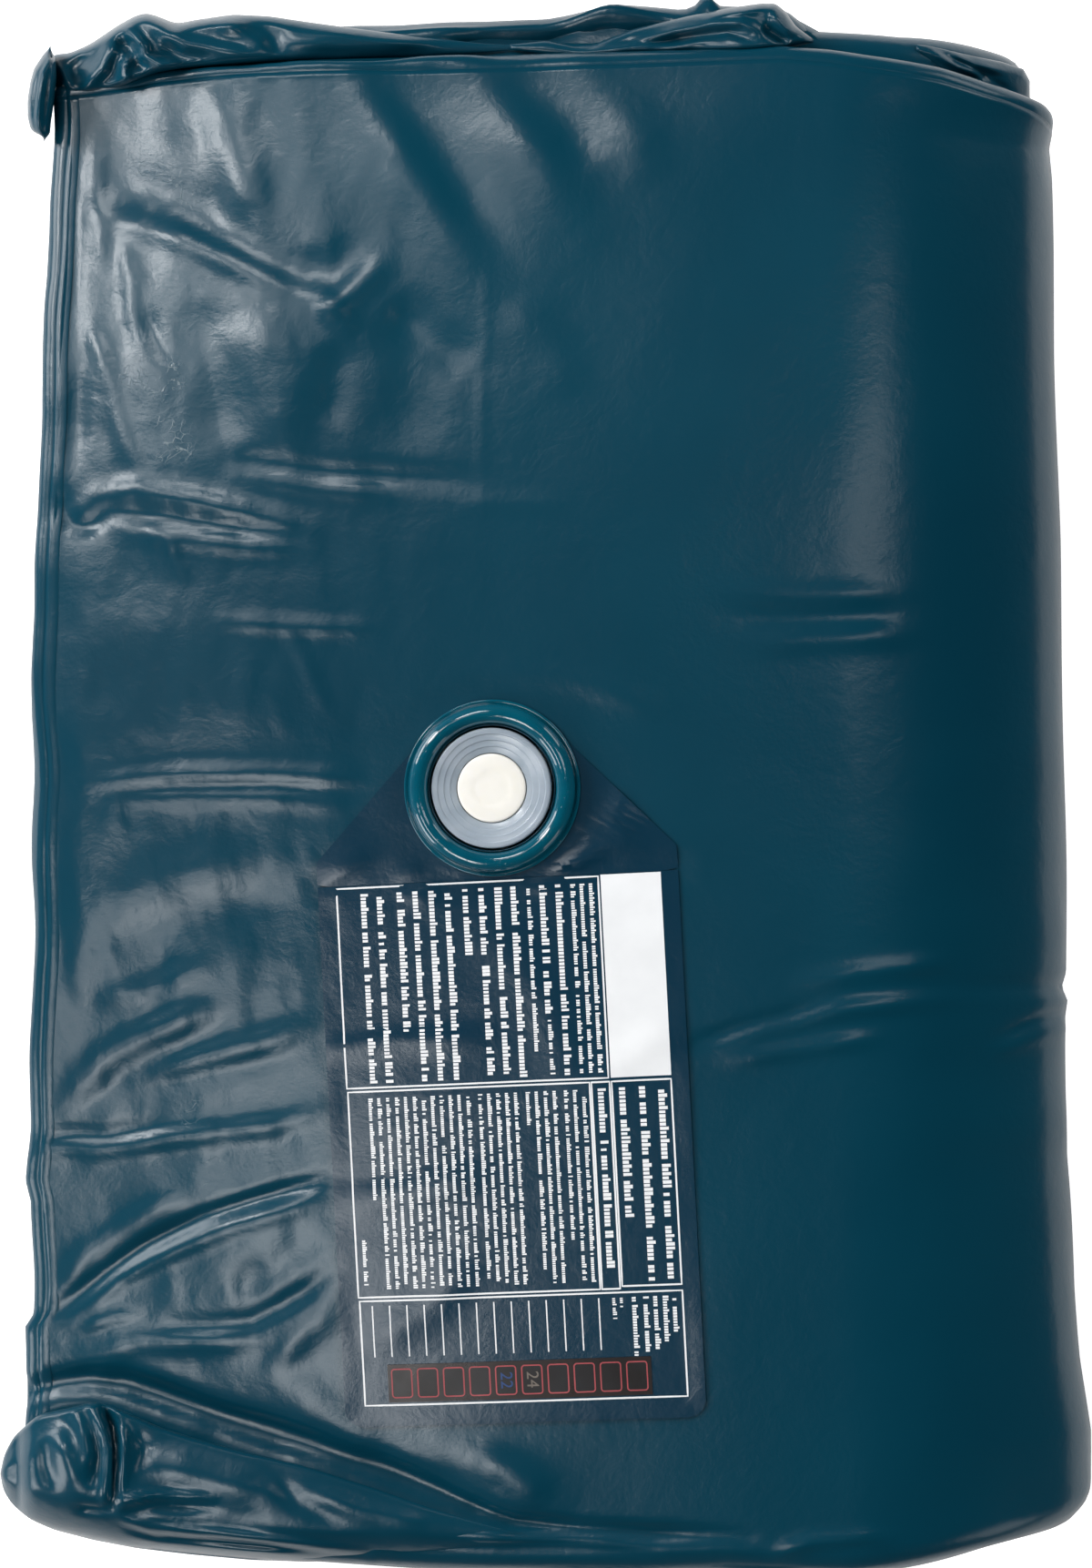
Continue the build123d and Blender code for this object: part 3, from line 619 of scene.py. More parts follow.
def about_valve(vert):
    """How far a mesh point is from the valve's axis, as an arm square to it, and its height along it."""
    arm = np.array(vert.co) / MM - VALVE
    height = float(arm @ VALVE_UP)
    return arm - height * VALVE_UP, height


def cut_round_hole(piece, radius, low, high):
    """Opens a round hole about the valve's axis in what lies between two heights on it."""
    work = bmesh.new()
    work.from_mesh(piece.data)
    inside = set()
    for vert in work.verts:
        arm, height = about_valve(vert)
        if low < height < high and np.linalg.norm(arm) < radius:
            inside.add(vert)
    gone = [face for face in work.faces if all(vert in inside for vert in face.verts)]
    bmesh.ops.delete(work, geom=gone, context="FACES")
    rim = [edge for edge in work.edges if edge.is_boundary]
    for vert in {vert for edge in rim for vert in edge.verts}:
        arm, height = about_valve(vert)
        vert.co = (VALVE + height * VALVE_UP + arm / np.linalg.norm(arm) * radius) * MM
    bmesh.ops.bridge_loops(work, edges=rim)
    loose = [vert for vert in work.verts if not vert.link_faces]
    bmesh.ops.delete(work, geom=loose, context="VERTS")
    bmesh.ops.recalc_face_normals(work, faces=work.faces)
    work.to_mesh(piece.data)
    work.free()
    for polygon in piece.data.polygons:
        polygon.use_smooth = True


def loop_piece(name, rings, material, body="bladder", closed_path=False, crisp=None):
    """A closed skin through rings of points; the ends are closed with a face unless the path is closed."""
    count, around = rings.shape[:2]
    faces = grid_faces(count, around, closed=True)
    if closed_path:
        last = (count - 1) * around
        faces += [(last + c, last + (c + 1) % around, (c + 1) % around, c) for c in range(around)]
    else:
        faces += [tuple(range(around)), tuple(range((count - 1) * around, count * around))[::-1]]
    return mesh_piece(name, rings.reshape(-1, 3), faces, material, body, crisp=crisp)


def edge_section(steps=14, flange=2.6, step_in=0.5, tuck=0.15):
    """A band's section, from one side round: reach past the sheets' edge, height, and normal."""
    turns = np.linspace(math.pi / 2, -math.pi / 2, steps)
    return np.array([
        (-flange, NOSE - tuck, 0, 1),
        (-step_in, NOSE - tuck, 0, 1),
        *((NOSE * math.cos(a), NOSE * math.sin(a), math.cos(a), math.sin(a)) for a in turns),
        (-step_in, tuck - NOSE, 0, -1),
        (-flange, tuck - NOSE, 0, -1),
    ])


def both_skins(outer, inner):
    """Rings of a thin wall: round its outside and back along its inside."""
    return np.concatenate((outer, inner[:, ::-1]), axis=1)


def side_band(upper):
    """The edge band along the open edge of one half, down the whole three-fold."""
    stretches = spaced((HEAD_Y, -LOOP_Y, 2.6)), spaced((-LOOP_Y, LOOP_Y, 5)), spaced((LOOP_Y, -FOOT_Y, 5))
    path = three_fold(0, stretches, (half_turn(12), half_turn(12)), math.radians(140))[::-1]
    section = edge_section()
    y, t, across_y, across_t, middle = (column[:, None] for column in path.T)
    reach, height, out, across = (row[None, :] for row in section.T)
    zero = np.zeros((len(path), len(section)))
    end, way = (WRAP_LENGTH, 1) if upper else (0, -1)
    s = end + way * reach + zero
    normals = (way * out + zero, across * across_y, across * across_t)
    place = (y + height * across_y, t + height * across_t)
    return both_skins(*(dressed(s, *place, normals, middle, depth) for depth in (0, SHEET)))


def end_band(head, fine):
    """The edge band along the head end of the outermost leaf, or the foot end of the innermost one."""
    s = wrap_stations(fine, 12)[:, None]
    reach, height, out, across = (row[None, :] for row in edge_section().T)
    middle = MIDDLES[2] if head else MIDDLES[0]
    end, way = (HEAD_Y, 1) if head else (-FOOT_Y, -1)
    zero = np.zeros((len(s), reach.shape[1]))
    place = (s + zero, end + way * reach + zero, middle + height + zero)
    normals = (zero, way * out + zero, across + zero)
    return both_skins(*(dressed(*place, normals, middle, depth) for depth in (0, SHEET)))


def corner_patch(upper, head):
    """A quarter of a hollow ball that closes a corner of the bag."""
    middle = MIDDLES[2] if head else MIDDLES[0]
    end_y, way_y = (HEAD_Y, 1) if head else (-FOOT_Y, -1)
    end_s, way_s = (WRAP_LENGTH, 1) if upper else (0, -1)
    turn = np.linspace(0, math.pi / 2, 9)[:, None]
    lift = np.linspace(math.pi / 2, -math.pi / 2, 14)[None, :]
    s = way_s * np.cos(lift) * np.cos(turn)
    y = way_y * np.cos(lift) * np.sin(turn)
    t = np.sin(lift) + 0 * turn
    return both_skins(*(
        dressed(end_s + radius * s, end_y + radius * y, middle + radius * t, (s, y, t), middle)
        for radius in (NOSE, NOSE - SHEET)
    ))


def joined(name, pieces):
    """Several meshes of one piece made one."""
    work = bmesh.new()
    for piece in pieces:
        work.from_mesh(piece.data)
    whole = pieces[0]
    work.to_mesh(whole.data)
    work.free()
    for piece in pieces[1:]:
        bpy.data.objects.remove(piece)
    whole.name = name
    whole.data.name = name
    return whole


def seam_strip(material):
    """The raised weld along the deck sheet's edge: a flat section run along a line on the deck."""
    y = spaced((HEAD_Y, -HEAD_Y, 3))
    zero = 0 * y
    edge = WRAP_LENGTH - WELD_IN + zero
    line = dressed(edge, y, STACK + zero, (zero, zero, zero + 1), MIDDLES[2] + zero, -0.05)
    rule = Rule("side_weld", Width=3.4, Thickness=0.22, Corner=0.1)
    curve = rule.add("GeometryNodeMeshToCurve", mesh=rule.given)
    upright = rule.add("GeometryNodeSetCurveNormal", {"mode": "Z_UP"}, curve=curve)
    section = rule.rounded(rule["Width"], rule["Thickness"], rule["Corner"], 3)
    strip = rule.add("GeometryNodeCurveToMesh", curve=upright, profile_curve=section, fill_caps=True)
    edges = [(i, i + 1) for i in range(len(line) - 1)]
    mesh = rule.grow(strip, material, seed_mesh("weld_line", line.tolist(), edges))
    return mesh_piece("deck_side_seam", places_of(mesh), faces_of(mesh), material)


def fleece_layer(offset, thick, short):
    """A ply of the fleece, which follows the three-fold inside the bag and ends short of its foot loop."""
    head, foot = LOOP_Y - 34, short - LOOP_Y
    stretches = spaced((HEAD_Y - 4, foot, 30)), spaced((foot, head, 30)), spaced((head, 4 - FOOT_Y, 30))
    loops = half_turn(45), half_turn(45)
    s = np.clip(wrap_stations(10, 18), 3, WRAP_LENGTH - 3)[None, :]
    middle = three_fold(0, stretches, loops)[:, 1:2] + 0 * s
    sides = []
    for height in (offset + thick / 2, offset - thick / 2):
        rows = three_fold(height, stretches, loops)
        base, _, _ = wrap(s + 0 * middle, rows[:, 1:2])
        base[..., 1] = rows[:, 0:1]
        sides.append(settled(base, middle))
    return thick_sheet(*sides, picks(len(rows), 1), picks(s.shape[1], 1))


def settled_straps(material):
    """The fleece's four straps, moved along with the bag's shape."""
    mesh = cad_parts["fleece_ties"].data
    points = places_of(mesh) / MM
    x, z = points[:, 0], points[:, 2]
    out = np.where(z < STACK, STACK - z, z - deck_height(x) + STACK)
    moved = settled(points + np.array((2.5, 0, 0)), out)
    return mesh_piece("fleece_straps", moved, faces_of(mesh), material, smooth_faces=False)


def turned(name, section, material, body, segments=144, ripple=None):
    """A ring or drum turned about the valve's axis from (radius, height) points in order round it."""
    section = np.array(section, float)
    angles = np.linspace(0, math.tau, segments, endpoint=False)[:, None]
    radius = section[:, 0][None, :]
    height = section[:, 1][None, :] + 0 * angles
    if ripple is not None:
        height = height + ripple(radius, angles)
    reach = np.cos(angles)[..., None] * VALVE_RIGHT + np.sin(angles)[..., None] * TOWARDS_HEAD
    rings = VALVE + reach * radius[..., None] + height[..., None] * VALVE_UP
    return loop_piece(name, rings, material, body, closed_path=True)


def arc_points(centre, radius, start, end, steps):
    """Points on an arc of a section; angles in degrees from the outward radius."""
    angles = np.radians(np.linspace(start, end, steps))
    return [(centre[0] + radius * math.cos(a), centre[1] + radius * math.sin(a)) for a in angles]


# the valve's own sizes, in mm
COLLAR_BORE = 27.15
RING_RADIUS = 25.4
RING_BORE = 20.3
RING_MOUTH = 14.8
PLUG_RADIUS = 14.5
PLUG_SHANK = 13.3
PLUG_HEAD_FROM = 0.75
BOOT_HOLE = 17.15


def collar_section():
    """A glossy bead on a foot, with a thin brim that lies low round it."""
    return [
        (COLLAR_BORE, 0.0), (30.95, 0.0), (30.95, 1.0), (36.9, 1.0),
        *arc_points((36.9, 1.45), 0.45, -90, 90, 7),
        (36.0, 1.75), (35.4, 1.35), (35.15, 1.45),
        *arc_points((31.2, 3.1), 4.05, -22, 160, 26),
        (27.2, 3.4), (COLLAR_BORE, 1.6),
    ]


def screw_ring_section():
    """The ring's web, dished in three steps, and its skirt."""
    steps = 3
    width = (RING_RADIUS - RING_MOUTH) / (steps + 1)
    height = 4.3
    points = [(RING_BORE, -6.4), (RING_RADIUS, -6.4), (RING_RADIUS, 3.5)]
    points += arc_points((RING_RADIUS - 0.8, 3.5), 0.8, 0, 90, 6)
    for number in range(1, steps + 1):
        radius = RING_RADIUS - number * width
        points += [(radius + 0.35, height), (radius + 0.12, height - 0.06), (radius, height - 0.34)]
        height -= 0.4
        points += [(radius - 0.12, height)]
    points += [(RING_MOUTH + 0.3, height), (RING_MOUTH, height - 0.25), (RING_MOUTH, 2.3), (RING_BORE, 2.3)]
    return points


def stopper_section():
    """The plug: its hollow shank with the seal's groove, and its round-edged, dished head."""
    return [
        (0, PLUG_HEAD_FROM), (10.7, PLUG_HEAD_FROM), (10.7, -5.5), (PLUG_SHANK, -5.5), (PLUG_SHANK, -3.75),
        (11.75, -3.75), (11.75, -1.85), (PLUG_SHANK, -1.85), (PLUG_SHANK, 0.7),
        (13.9, PLUG_HEAD_FROM), (PLUG_RADIUS, 1.2), (PLUG_RADIUS, 2.75),
        *arc_points((PLUG_RADIUS - 0.8, 2.75), 0.8, 0, 84, 6),
        (12.6, 3.6), (11.0, 3.66), (9.4, 3.68), (8.2, 3.6), (7.4, 3.5), (6.4, 3.47), (4.0, 3.5), (2.0, 3.52),
        (0.0, 3.53),
    ]


def stopper_arcs(radius, angle):
    """The soft arcs pressed into the stopper's head."""
    total = 0
    for depth, at, width, middle, half in ((0.28, 8.6, 0.75, 235, 34), (0.18, 7.6, 0.6, 128, 18)):
        off = (np.degrees(angle) - middle + 180) % 360 - 180
        total = total + depth * np.exp(-((radius - at) / width) ** 2) * np.exp(-((off / half) ** 4))
    return total * (radius > 2)


def boot_section():
    """The soft sleeve: a wall that stands in the collar, and a floor that holds the neck."""
    return [
        (BOOT_HOLE, -10.9),
        *arc_points((25.6, -9.5), 1.4, -90, 0, 6),
        (27.0, -6.0), (27.0, -3.0), (27.0, 0.0),
        *arc_points((26.65, 2.65), 0.35, 0, 180, 8),
        (26.3, 0.0), (26.3, -3.0), (26.3, -6.0),
        *arc_points((25.4, -9.3), 0.9, 0, -90, 5),
        (BOOT_HOLE, -10.2),
    ]


# the tag: across and down from the valve's middle, in mm
TAG_TURN = math.radians(3)
TAG_RIGHT = math.cos(TAG_TURN) * VALVE_RIGHT + math.sin(TAG_TURN) * TOWARDS_HEAD
TAG_DOWN = math.sin(TAG_TURN) * VALVE_RIGHT - math.cos(TAG_TURN) * TOWARDS_HEAD
TAG_LIFT = 0.3
TAG_THICK = 0.4
TAG_HALF = 76.5
TAG_END = 268.0
TAG_SHOULDER = 28.0
TAG_HEAD = 36.0
TAG_FOLD = 38.3
TAG_CREASE = 0.12
TAG_FOLD_LIFT = 0.08
TAG_CORNER = 8.0
TAG_HOLE = 31.25
STRIP_MIDDLE = 249.8
STRIP_THICK = 0.25
PANEL_THICK = 0.07

# wrinkles of the tag, as for the deck
TAG_WRINKLES = (
    (2.2, 11, ((688, 868), (672, 905), (648, 936), (612, 960), (578, 972))),
    (-1.2, 9, ((664, 862), (655, 895), (634, 925), (600, 948))),
    (0.9, 9, ((705, 880), (694, 918), (672, 948))),
    (1.2, 16, ((352, 975), (372, 962), (400, 935))),
    (0.8, 14, ((440, 950), (455, 975), (480, 990))),
    (-0.6, 12, ((345, 1135), (420, 1124), (520, 1118))),
    (0.7, 14, ((345, 1155), (430, 1140), (540, 1140))),
    (0.5, 24, ((520, 1000), (600, 1100), (640, 1240))),
    (0.8, 16, ((740, 1130), (690, 1160), (640, 1200))),
    (-0.7, 16, ((372, 1290), (440, 1275), (520, 1240))),
    (0.7, 18, ((372, 1320), (450, 1310), (540, 1290))),
    (0.8, 20, ((400, 1480), (470, 1440), (520, 1380))),
)


def tag_points(across, down, height):
    """Points on the tag, which drapes over the deck but lies flat along its fold."""
    across, down = np.broadcast_arrays(np.asarray(across, float), np.asarray(down, float))
    points = VALVE + across[..., None] * TAG_RIGHT + down[..., None] * TAG_DOWN
    px, py = to_photo(points)
    clear = smooth(np.hypot(across, down), 38.5, 44)
    deck = np.maximum(deck_relief(px, py), -0.2) + sunk(px, py)
    own = np.maximum(line_heights(px, py, TAG_WRINKLES), -0.1) * clear
    edge = np.minimum(TAG_HALF - np.abs(across), TAG_END - down)
    own = own + 0.25 * smooth(edge, 9, 0) * smooth(down, 60, 110) * (1 + 0.6 * np.sin(down / 17.0))
    loose = smooth(np.abs(down - TAG_FOLD), 0.8, 5.0)
    rise = np.asarray(height) + TAG_FOLD_LIFT + (TAG_LIFT + deck * clear + own - TAG_FOLD_LIFT) * loose
    return points + rise[..., None] * VALVE_UP


def slab(name, across, down, low, high, material, body="tag"):
    """A thin draped plate over a grid of places on the tag."""
    across, down = np.broadcast_arrays(across, down)
    outer = tag_points(across, down, high)
    inner = tag_points(across, down, low)
    rows, columns = across.shape
    points, faces = thick_sheet(outer, inner, picks(rows, 1), picks(columns, 1))
    return mesh_piece(name, points, faces, material, body, crisp=50)


def tag_leaf_grid():
    """Places over the tag's free leaf, with its two round corners."""
    straight = TAG_END - TAG_CORNER
    down = spaced((TAG_FOLD + TAG_CREASE / 2, straight, 2.4), (straight, TAG_END, 0.6))[:, None]
    into = np.maximum(down - straight, 0)
    half = TAG_HALF - TAG_CORNER + np.sqrt(np.maximum(TAG_CORNER ** 2 - into ** 2, 0.0))
    share = np.linspace(-1, 1, 64)[None, :]
    return share * half, down + 0 * share


def reach_to(way, normal, distance):
    """How far each way runs until it meets a straight edge."""
    facing = way @ np.array(normal)
    return np.where(facing > 1e-6, distance / np.maximum(facing, 1e-6), 1e9)


def tag_head_rings():
    """The tag's round head, hooked round the collar's foot, with straight edges down to the leaf."""
    angles = np.linspace(0, math.tau, 180, endpoint=False)
    way = np.stack((np.cos(angles), np.sin(angles)), -1)
    gap = math.hypot(TAG_HALF, TAG_SHOULDER)
    bearing = math.atan2(TAG_SHOULDER, TAG_HALF) - math.acos(TAG_HEAD / gap)
    lower = way[:, 1] > math.sin(bearing)
    edges = [((0, 1), TAG_FOLD - TAG_CREASE / 2), ((1, 0), TAG_HALF), ((-1, 0), TAG_HALF)]
    edges += [((mirror * math.cos(bearing), math.sin(bearing)), TAG_HEAD) for mirror in (1, -1)]
    reach = np.min([reach_to(way, normal, distance) for normal, distance in edges], axis=0)
    reach = np.where(lower, reach, TAG_HEAD)
    share = np.linspace(0, 1, 9)[None, :] ** 1.2
    radius = TAG_HOLE + share * (reach[:, None] - TAG_HOLE)
    across, down = radius * way[:, 0:1], radius * way[:, 1:2]
    return both_skins(tag_points(across, down, TAG_THICK), tag_points(across, down, 0))


def link(tree, source, target):
    tree.links.new(source, target)


def sums(tree, operation, first, second):
    """A maths node between two numbers or sockets."""
    node = tree.nodes.new("ShaderNodeMath")
    node.operation = operation
    for socket, value in zip(node.inputs, (first, second)):
        if isinstance(value, (int, float)):
            socket.default_value = value
        else:
            link(tree, value, socket)
    return node.outputs["Value"]


class Rule:
    """A geometry node tree with named sizes, and how it is joined up."""

    def __init__(self, name, **sizes):
        self.tree = bpy.data.node_groups.new(name, "GeometryNodeTree")
        face = self.tree.interface
        face.new_socket("Geometry", in_out="INPUT", socket_type="NodeSocketGeometry")
        self.sizes = {}
        for size, value in sizes.items():
            kind = "NodeSocketInt" if isinstance(value, int) else "NodeSocketFloat"
            socket = face.new_socket(size, in_out="INPUT", socket_type=kind)
            socket.default_value = value
            self.sizes[socket.identifier] = value
        face.new_socket("Geometry", in_out="OUTPUT", socket_type="NodeSocketGeometry")
        self.start = self.tree.nodes.new("NodeGroupInput")
        self.given = self["Geometry"]

    def __getitem__(self, size):
        return self.start.outputs[size]

    def add(self, kind, settings=None, **inputs):
        """The first output of a new node with its settings, and its inputs by name in small letters."""
        node = self.tree.nodes.new(kind)
        for key, value in (settings or {}).items():
            setattr(node, key, value)
        for key, value in inputs.items():
            wanted = key.replace("_", " ")
            socket = next(s for s in node.inputs if s.enabled and s.name.lower() == wanted)
            if isinstance(value, bpy.types.NodeSocket):
                link(self.tree, value, socket)
            else:
                socket.default_value = value
        return next(s for s in node.outputs if s.enabled)

    def plus(self, first, second):
        return sums(self.tree, "ADD", first, second)

    def times(self, first, second):
        return sums(self.tree, "MULTIPLY", first, second)

    def vector(self, x=0.0, y=0.0, z=0.0):
        return self.add("ShaderNodeCombineXYZ", x=x, y=y, z=z)

    def chance(self, share, seed):
        """True for a share of the points."""
        return self.add("FunctionNodeRandomValue", {"data_type": "BOOLEAN"}, probability=share, seed=seed)

    def block(self, x, y, z, size):
        """A box with so many points along each side."""
        return self.add("GeometryNodeMeshCube", vertices_x=x, vertices_y=y, vertices_z=z, size=size)

    def rounded(self, width, height, corner, count):
        """A rectangle with rounded corners."""
        plain = self.add("GeometryNodeCurvePrimitiveQuadrilateral", width=width, height=height)
        return self.add("GeometryNodeFilletCurve", {"mode": "POLY"}, curve=plain, count=count, radius=corner)

    def lined(self, curve):
        """A bar as wide and thick as the rule's line, along a curve."""
        size = {"width": self["Line"], "height": self["Thickness"]}
        section = self.add("GeometryNodeCurvePrimitiveQuadrilateral", **size)
        return self.add("GeometryNodeCurveToMesh", curve=curve, profile_curve=section)

    def in_a_row(self, shape):
        """Copies of a shape, side by side across the tag."""
        height = self.plus(self["Bottom"], self.times(self["Thickness"], 0.5))
        line = self.add("GeometryNodeMeshLine", count=self["Count"], offset=self.vector(self["Pitch"]),
                        start_location=self.vector(self["First"], self["Middle"], height))
        return self.add("GeometryNodeInstanceOnPoints", points=line, instance=shape)

    def grow(self, geometry, material, start=None):
        """The plain mesh that the tree makes from a starting mesh."""
        real = self.add("GeometryNodeRealizeInstances", geometry=geometry)
        painted = self.add("GeometryNodeSetMaterial", geometry=real, material=material)
        end = self.tree.nodes.new("NodeGroupOutput")
        link(self.tree, painted, end.inputs["Geometry"])
        holder = placed(self.tree.name, start or bpy.data.meshes.new("seed"))
        modifier = holder.modifiers.new("rule", "NODES")
        modifier.node_group = self.tree
        for identifier, value in self.sizes.items():
            modifier[identifier] = value
        return mesh_of(holder)


def mesh_of(holder):
    """The plain mesh that an object shows; the object is removed."""
    bpy.context.view_layer.update()
    mesh = bpy.data.meshes.new_from_object(holder.evaluated_get(bpy.context.evaluated_depsgraph_get()))
    bpy.data.objects.remove(holder)
    return mesh


def seed_mesh(name, points, edges):
    mesh = bpy.data.meshes.new(name)
    mesh.from_pydata(points, edges, [])
    return mesh


def places_of(mesh):
    """A mesh's points as rows of an array."""
    places = np.zeros(3 * len(mesh.vertices))
    mesh.vertices.foreach_get("co", places)
    return places.reshape(-1, 3)


def draped(name, mesh, material):
    """A flat mesh of across, down and height, laid on the tag."""
    points = tag_points(*places_of(mesh).T)
    return mesh_piece(name, points, faces_of(mesh), material, "tag", smooth_faces=False)


WINDOW_PITCH = 11.08
WINDOW_FIRST = -1.6 - 4.5 * WINDOW_PITCH
DIGIT_HEIGHT = TAG_THICK + 0.37
WINDOW_ROW = {"Count": 10, "First": WINDOW_FIRST, "Pitch": WINDOW_PITCH, "Middle": STRIP_MIDDLE,
              "Bottom": TAG_THICK + STRIP_THICK}


def row_of_plates(material):
    """Ten plates in a row, each divided so that it can bend."""
    rule = Rule("row_of_windows", **WINDOW_ROW, Width=8.0, Length=11.5, Thickness=0.07)
    plate = rule.block(6, 8, 2, rule.vector(rule["Width"], rule["Length"], rule["Thickness"]))
    return rule.grow(rule.in_a_row(plate), material)


def row_of_outlines(material):
    """Ten rounded outlines in a row: a rounded rectangle with a small section run along it."""
    rule = Rule("row_of_outlines", **WINDOW_ROW, Width=8.5, Length=12.0, Corner=1.2, Line=0.55,
                Thickness=0.12)
    shape = rule.rounded(rule["Width"], rule["Length"], rule["Corner"], 4)
    return rule.grow(rule.in_a_row(rule.lined(shape)), material)


def row_of_rules(material):
    """The thin lines of the service table, one for each year."""
    rule = Rule("row_of_rules", Count=14, First=-62.5, Pitch=7.4, Line=0.55, Length=21.8, Middle=227.6,
                Bottom=TAG_THICK, Thickness=0.06)
    bar = rule.block(2, 8, 2, rule.vector(rule["Line"], rule["Length"], rule["Thickness"]))
    return rule.grow(rule.in_a_row(bar), material)


def box_outlines(material):
    """The white boxes round the tag's print: a small section run along each box of the seed mesh."""
    rule = Rule("box_outlines", Line=0.75, Thickness=0.06)
    curve = rule.add("GeometryNodeMeshToCurve", mesh=rule.given)
    outline = rule.lined(rule.add("GeometryNodeSubdivideCurve", curve=curve, cuts=20))
    corners = []
    for left, right, top, bottom in TAG_BOXES:
        for across, down in ((left, top), (right, top), (right, bottom), (left, bottom)):
            corners.append((across, down, TAG_THICK + 0.03))
    edges = [(4 * box + k, 4 * box + (k + 1) % 4) for box in range(len(TAG_BOXES)) for k in range(4)]
    return rule.grow(outline, material, seed_mesh("boxes", corners, edges))


# the boxes: left, right, top and bottom, in mm on the tag
TAG_BOXES = (
    (-68.5, 42.7, 39.4, 124.2), (-68.2, 34.6, 125.8, 213.0), (35.4, 43.0, 125.8, 213.0),
    (43.9, 68.9, 125.8, 212.0), (-67.8, 69.0, 214.6, 259.0),
)

# lines of print: place across the tag, start and end down it, and height of the print, in mm
TEXT_LINES = (
    (38.6, 42.0, 122.0, 2.1), (34.7, 42.0, 122.0, 2.1), (30.8, 42.0, 122.0, 2.1),
    (24.4, 42.0, 122.4, 3.2), (17.6, 42.0, 96.0, 3.2), (18.4, 98.5, 122.0, 2.1),
    (12.2, 42.0, 112.0, 2.1), (5.4, 42.0, 122.4, 3.2), (-1.4, 42.0, 122.4, 3.2),
    (-8.2, 42.0, 122.4, 3.2), (-15.0, 42.0, 70.0, 3.2), (-22.6, 42.0, 122.4, 3.2),
    (-29.4, 42.0, 122.4, 3.2), (-36.2, 42.0, 122.4, 3.2), (-43.0, 42.0, 101.0, 3.2),
    (-51.6, 42.0, 122.4, 3.2), (-58.4, 42.0, 122.4, 3.2), (37.9, 128.5, 204.0, 3.4),
    (63.2, 128.5, 209.5, 3.7), (55.2, 128.5, 210.0, 3.7), (46.8, 128.5, 183.0, 3.7),
    (64.6, 216.5, 232.0, 2.4), (60.6, 216.5, 236.0, 2.4), (56.6, 216.5, 239.0, 2.4),
    (52.4, 216.5, 240.0, 2.4), (47.6, 216.5, 244.0, 2.4), (42.6, 216.5, 222.0, 1.7),
    (39.4, 216.5, 226.0, 1.7),
)

SMALL_PRINT_START = 128.5
SMALL_PRINT_TALL = 1.9

# lines of the smallest print: place across, how much later than the others it starts, and its end, in mm
SMALL_PRINT = (
    (31.2, 3, 210.0), (27.4, 0, 210.0), (23.6, 0, 192.0), (18.8, 0, 210.0), (15.0, 0, 210.0),
    (11.2, 0, 204.0), (7.4, 0, 143.0), (2.4, 0, 210.0), (-1.4, 0, 210.0), (-5.2, 0, 209.0),
    (-9.0, 0, 210.0), (-12.8, 0, 207.0), (-17.8, 0, 210.0), (-21.6, 0, 210.0), (-25.4, 0, 210.0),
    (-29.2, 0, 210.0), (-33.0, 0, 210.0), (-36.8, 0, 210.0), (-40.6, 0, 210.0), (-44.4, 0, 210.0),
    (-48.2, 0, 209.0), (-52.0, 0, 210.0), (-55.8, 0, 210.0), (-59.6, 0, 172.0), (-65.4, 60, 209.0),
)


def print_lines():
    """The lines that the small print follows, each with the height of its print."""
    small = [(place, SMALL_PRINT_START + skip, end, SMALL_PRINT_TALL) for place, skip, end in SMALL_PRINT]
    lines = list(TEXT_LINES) + small
    inset = 0.6
    ends = []
    for left, start, end, _ in lines:
        ends += [(left, start + inset, TAG_THICK), (left, end - inset, TAG_THICK)]
    seed = seed_mesh("print_lines", ends, [(2 * i, 2 * i + 1) for i in range(len(lines))])
    sizes = seed.attributes.new("tall", "FLOAT", "POINT")
    sizes.data.foreach_set("value", [line[3] for line in lines for _ in range(2)])
    return seed


def block_print(material):
    """Lines of plain blocks where the tag's small print is, with no letters in them."""
    rule = Rule("small_print", Letter_share=0.46, Gap_share=0.13, Body=0.70, Tall_share=0.28,
                Thickness=0.1, Seed=12)
    tall = rule.add("GeometryNodeInputNamedAttribute", {"data_type": "FLOAT"}, name="tall")
    curve = rule.add("GeometryNodeMeshToCurve", mesh=rule.given)
    step = rule.times(tall, rule["Letter_share"])
    spots = rule.add("GeometryNodeCurveToPoints", {"mode": "LENGTH"}, curve=curve, length=step)
    gap = rule.chance(rule["Gap_share"], rule["Seed"])
    words = rule.add("GeometryNodeDeleteGeometry", {"domain": "POINT"}, geometry=spots, selection=gap)
    block = rule.block(2, 2, 2, (1.0, 1.0, 1.0))
    on_line = rule.add("GeometryNodeTransform", geometry=block, translation=(0.5, 0.0, 0.0))
    stem = rule.chance(rule["Tall_share"], rule.plus(rule["Seed"], 3))
    high = rule.plus(rule["Body"], rule.times(stem, 0.3))
    wide = rule.add("FunctionNodeRandomValue", {"data_type": "FLOAT"}, min=0.29, max=0.42,
                    seed=rule.plus(rule["Seed"], 5))
    scale = rule.vector(rule.times(tall, high), rule.times(tall, wide), rule["Thickness"])
    row = rule.add("GeometryNodeInstanceOnPoints", points=words, instance=on_line, scale=scale)
    return draped("tag_small_print", rule.grow(row, material, print_lines()), material)


def digits(text, middle, material, tall=5.0):
    """A plain number on the thermometer strip, its top towards the right."""
    curve = bpy.data.curves.new("number", "FONT")
    curve.body = text
    curve.align_x = "CENTER"
    curve.align_y = "CENTER"
    curve.size = 1.0
    curve.extrude = 0.02
    mesh = mesh_of(placed("number_outline", curve))
    x, y, z = np.array([tuple(v.co) for v in mesh.vertices]).T
    scale = tall / (y.max() - y.min())
    points = tag_points(middle + y * scale, STRIP_MIDDLE + x * scale, DIGIT_HEIGHT + z)
    name = "thermometer_number_" + text
    return mesh_piece(name, points, faces_of(mesh), material, "tag", smooth_faces=False)


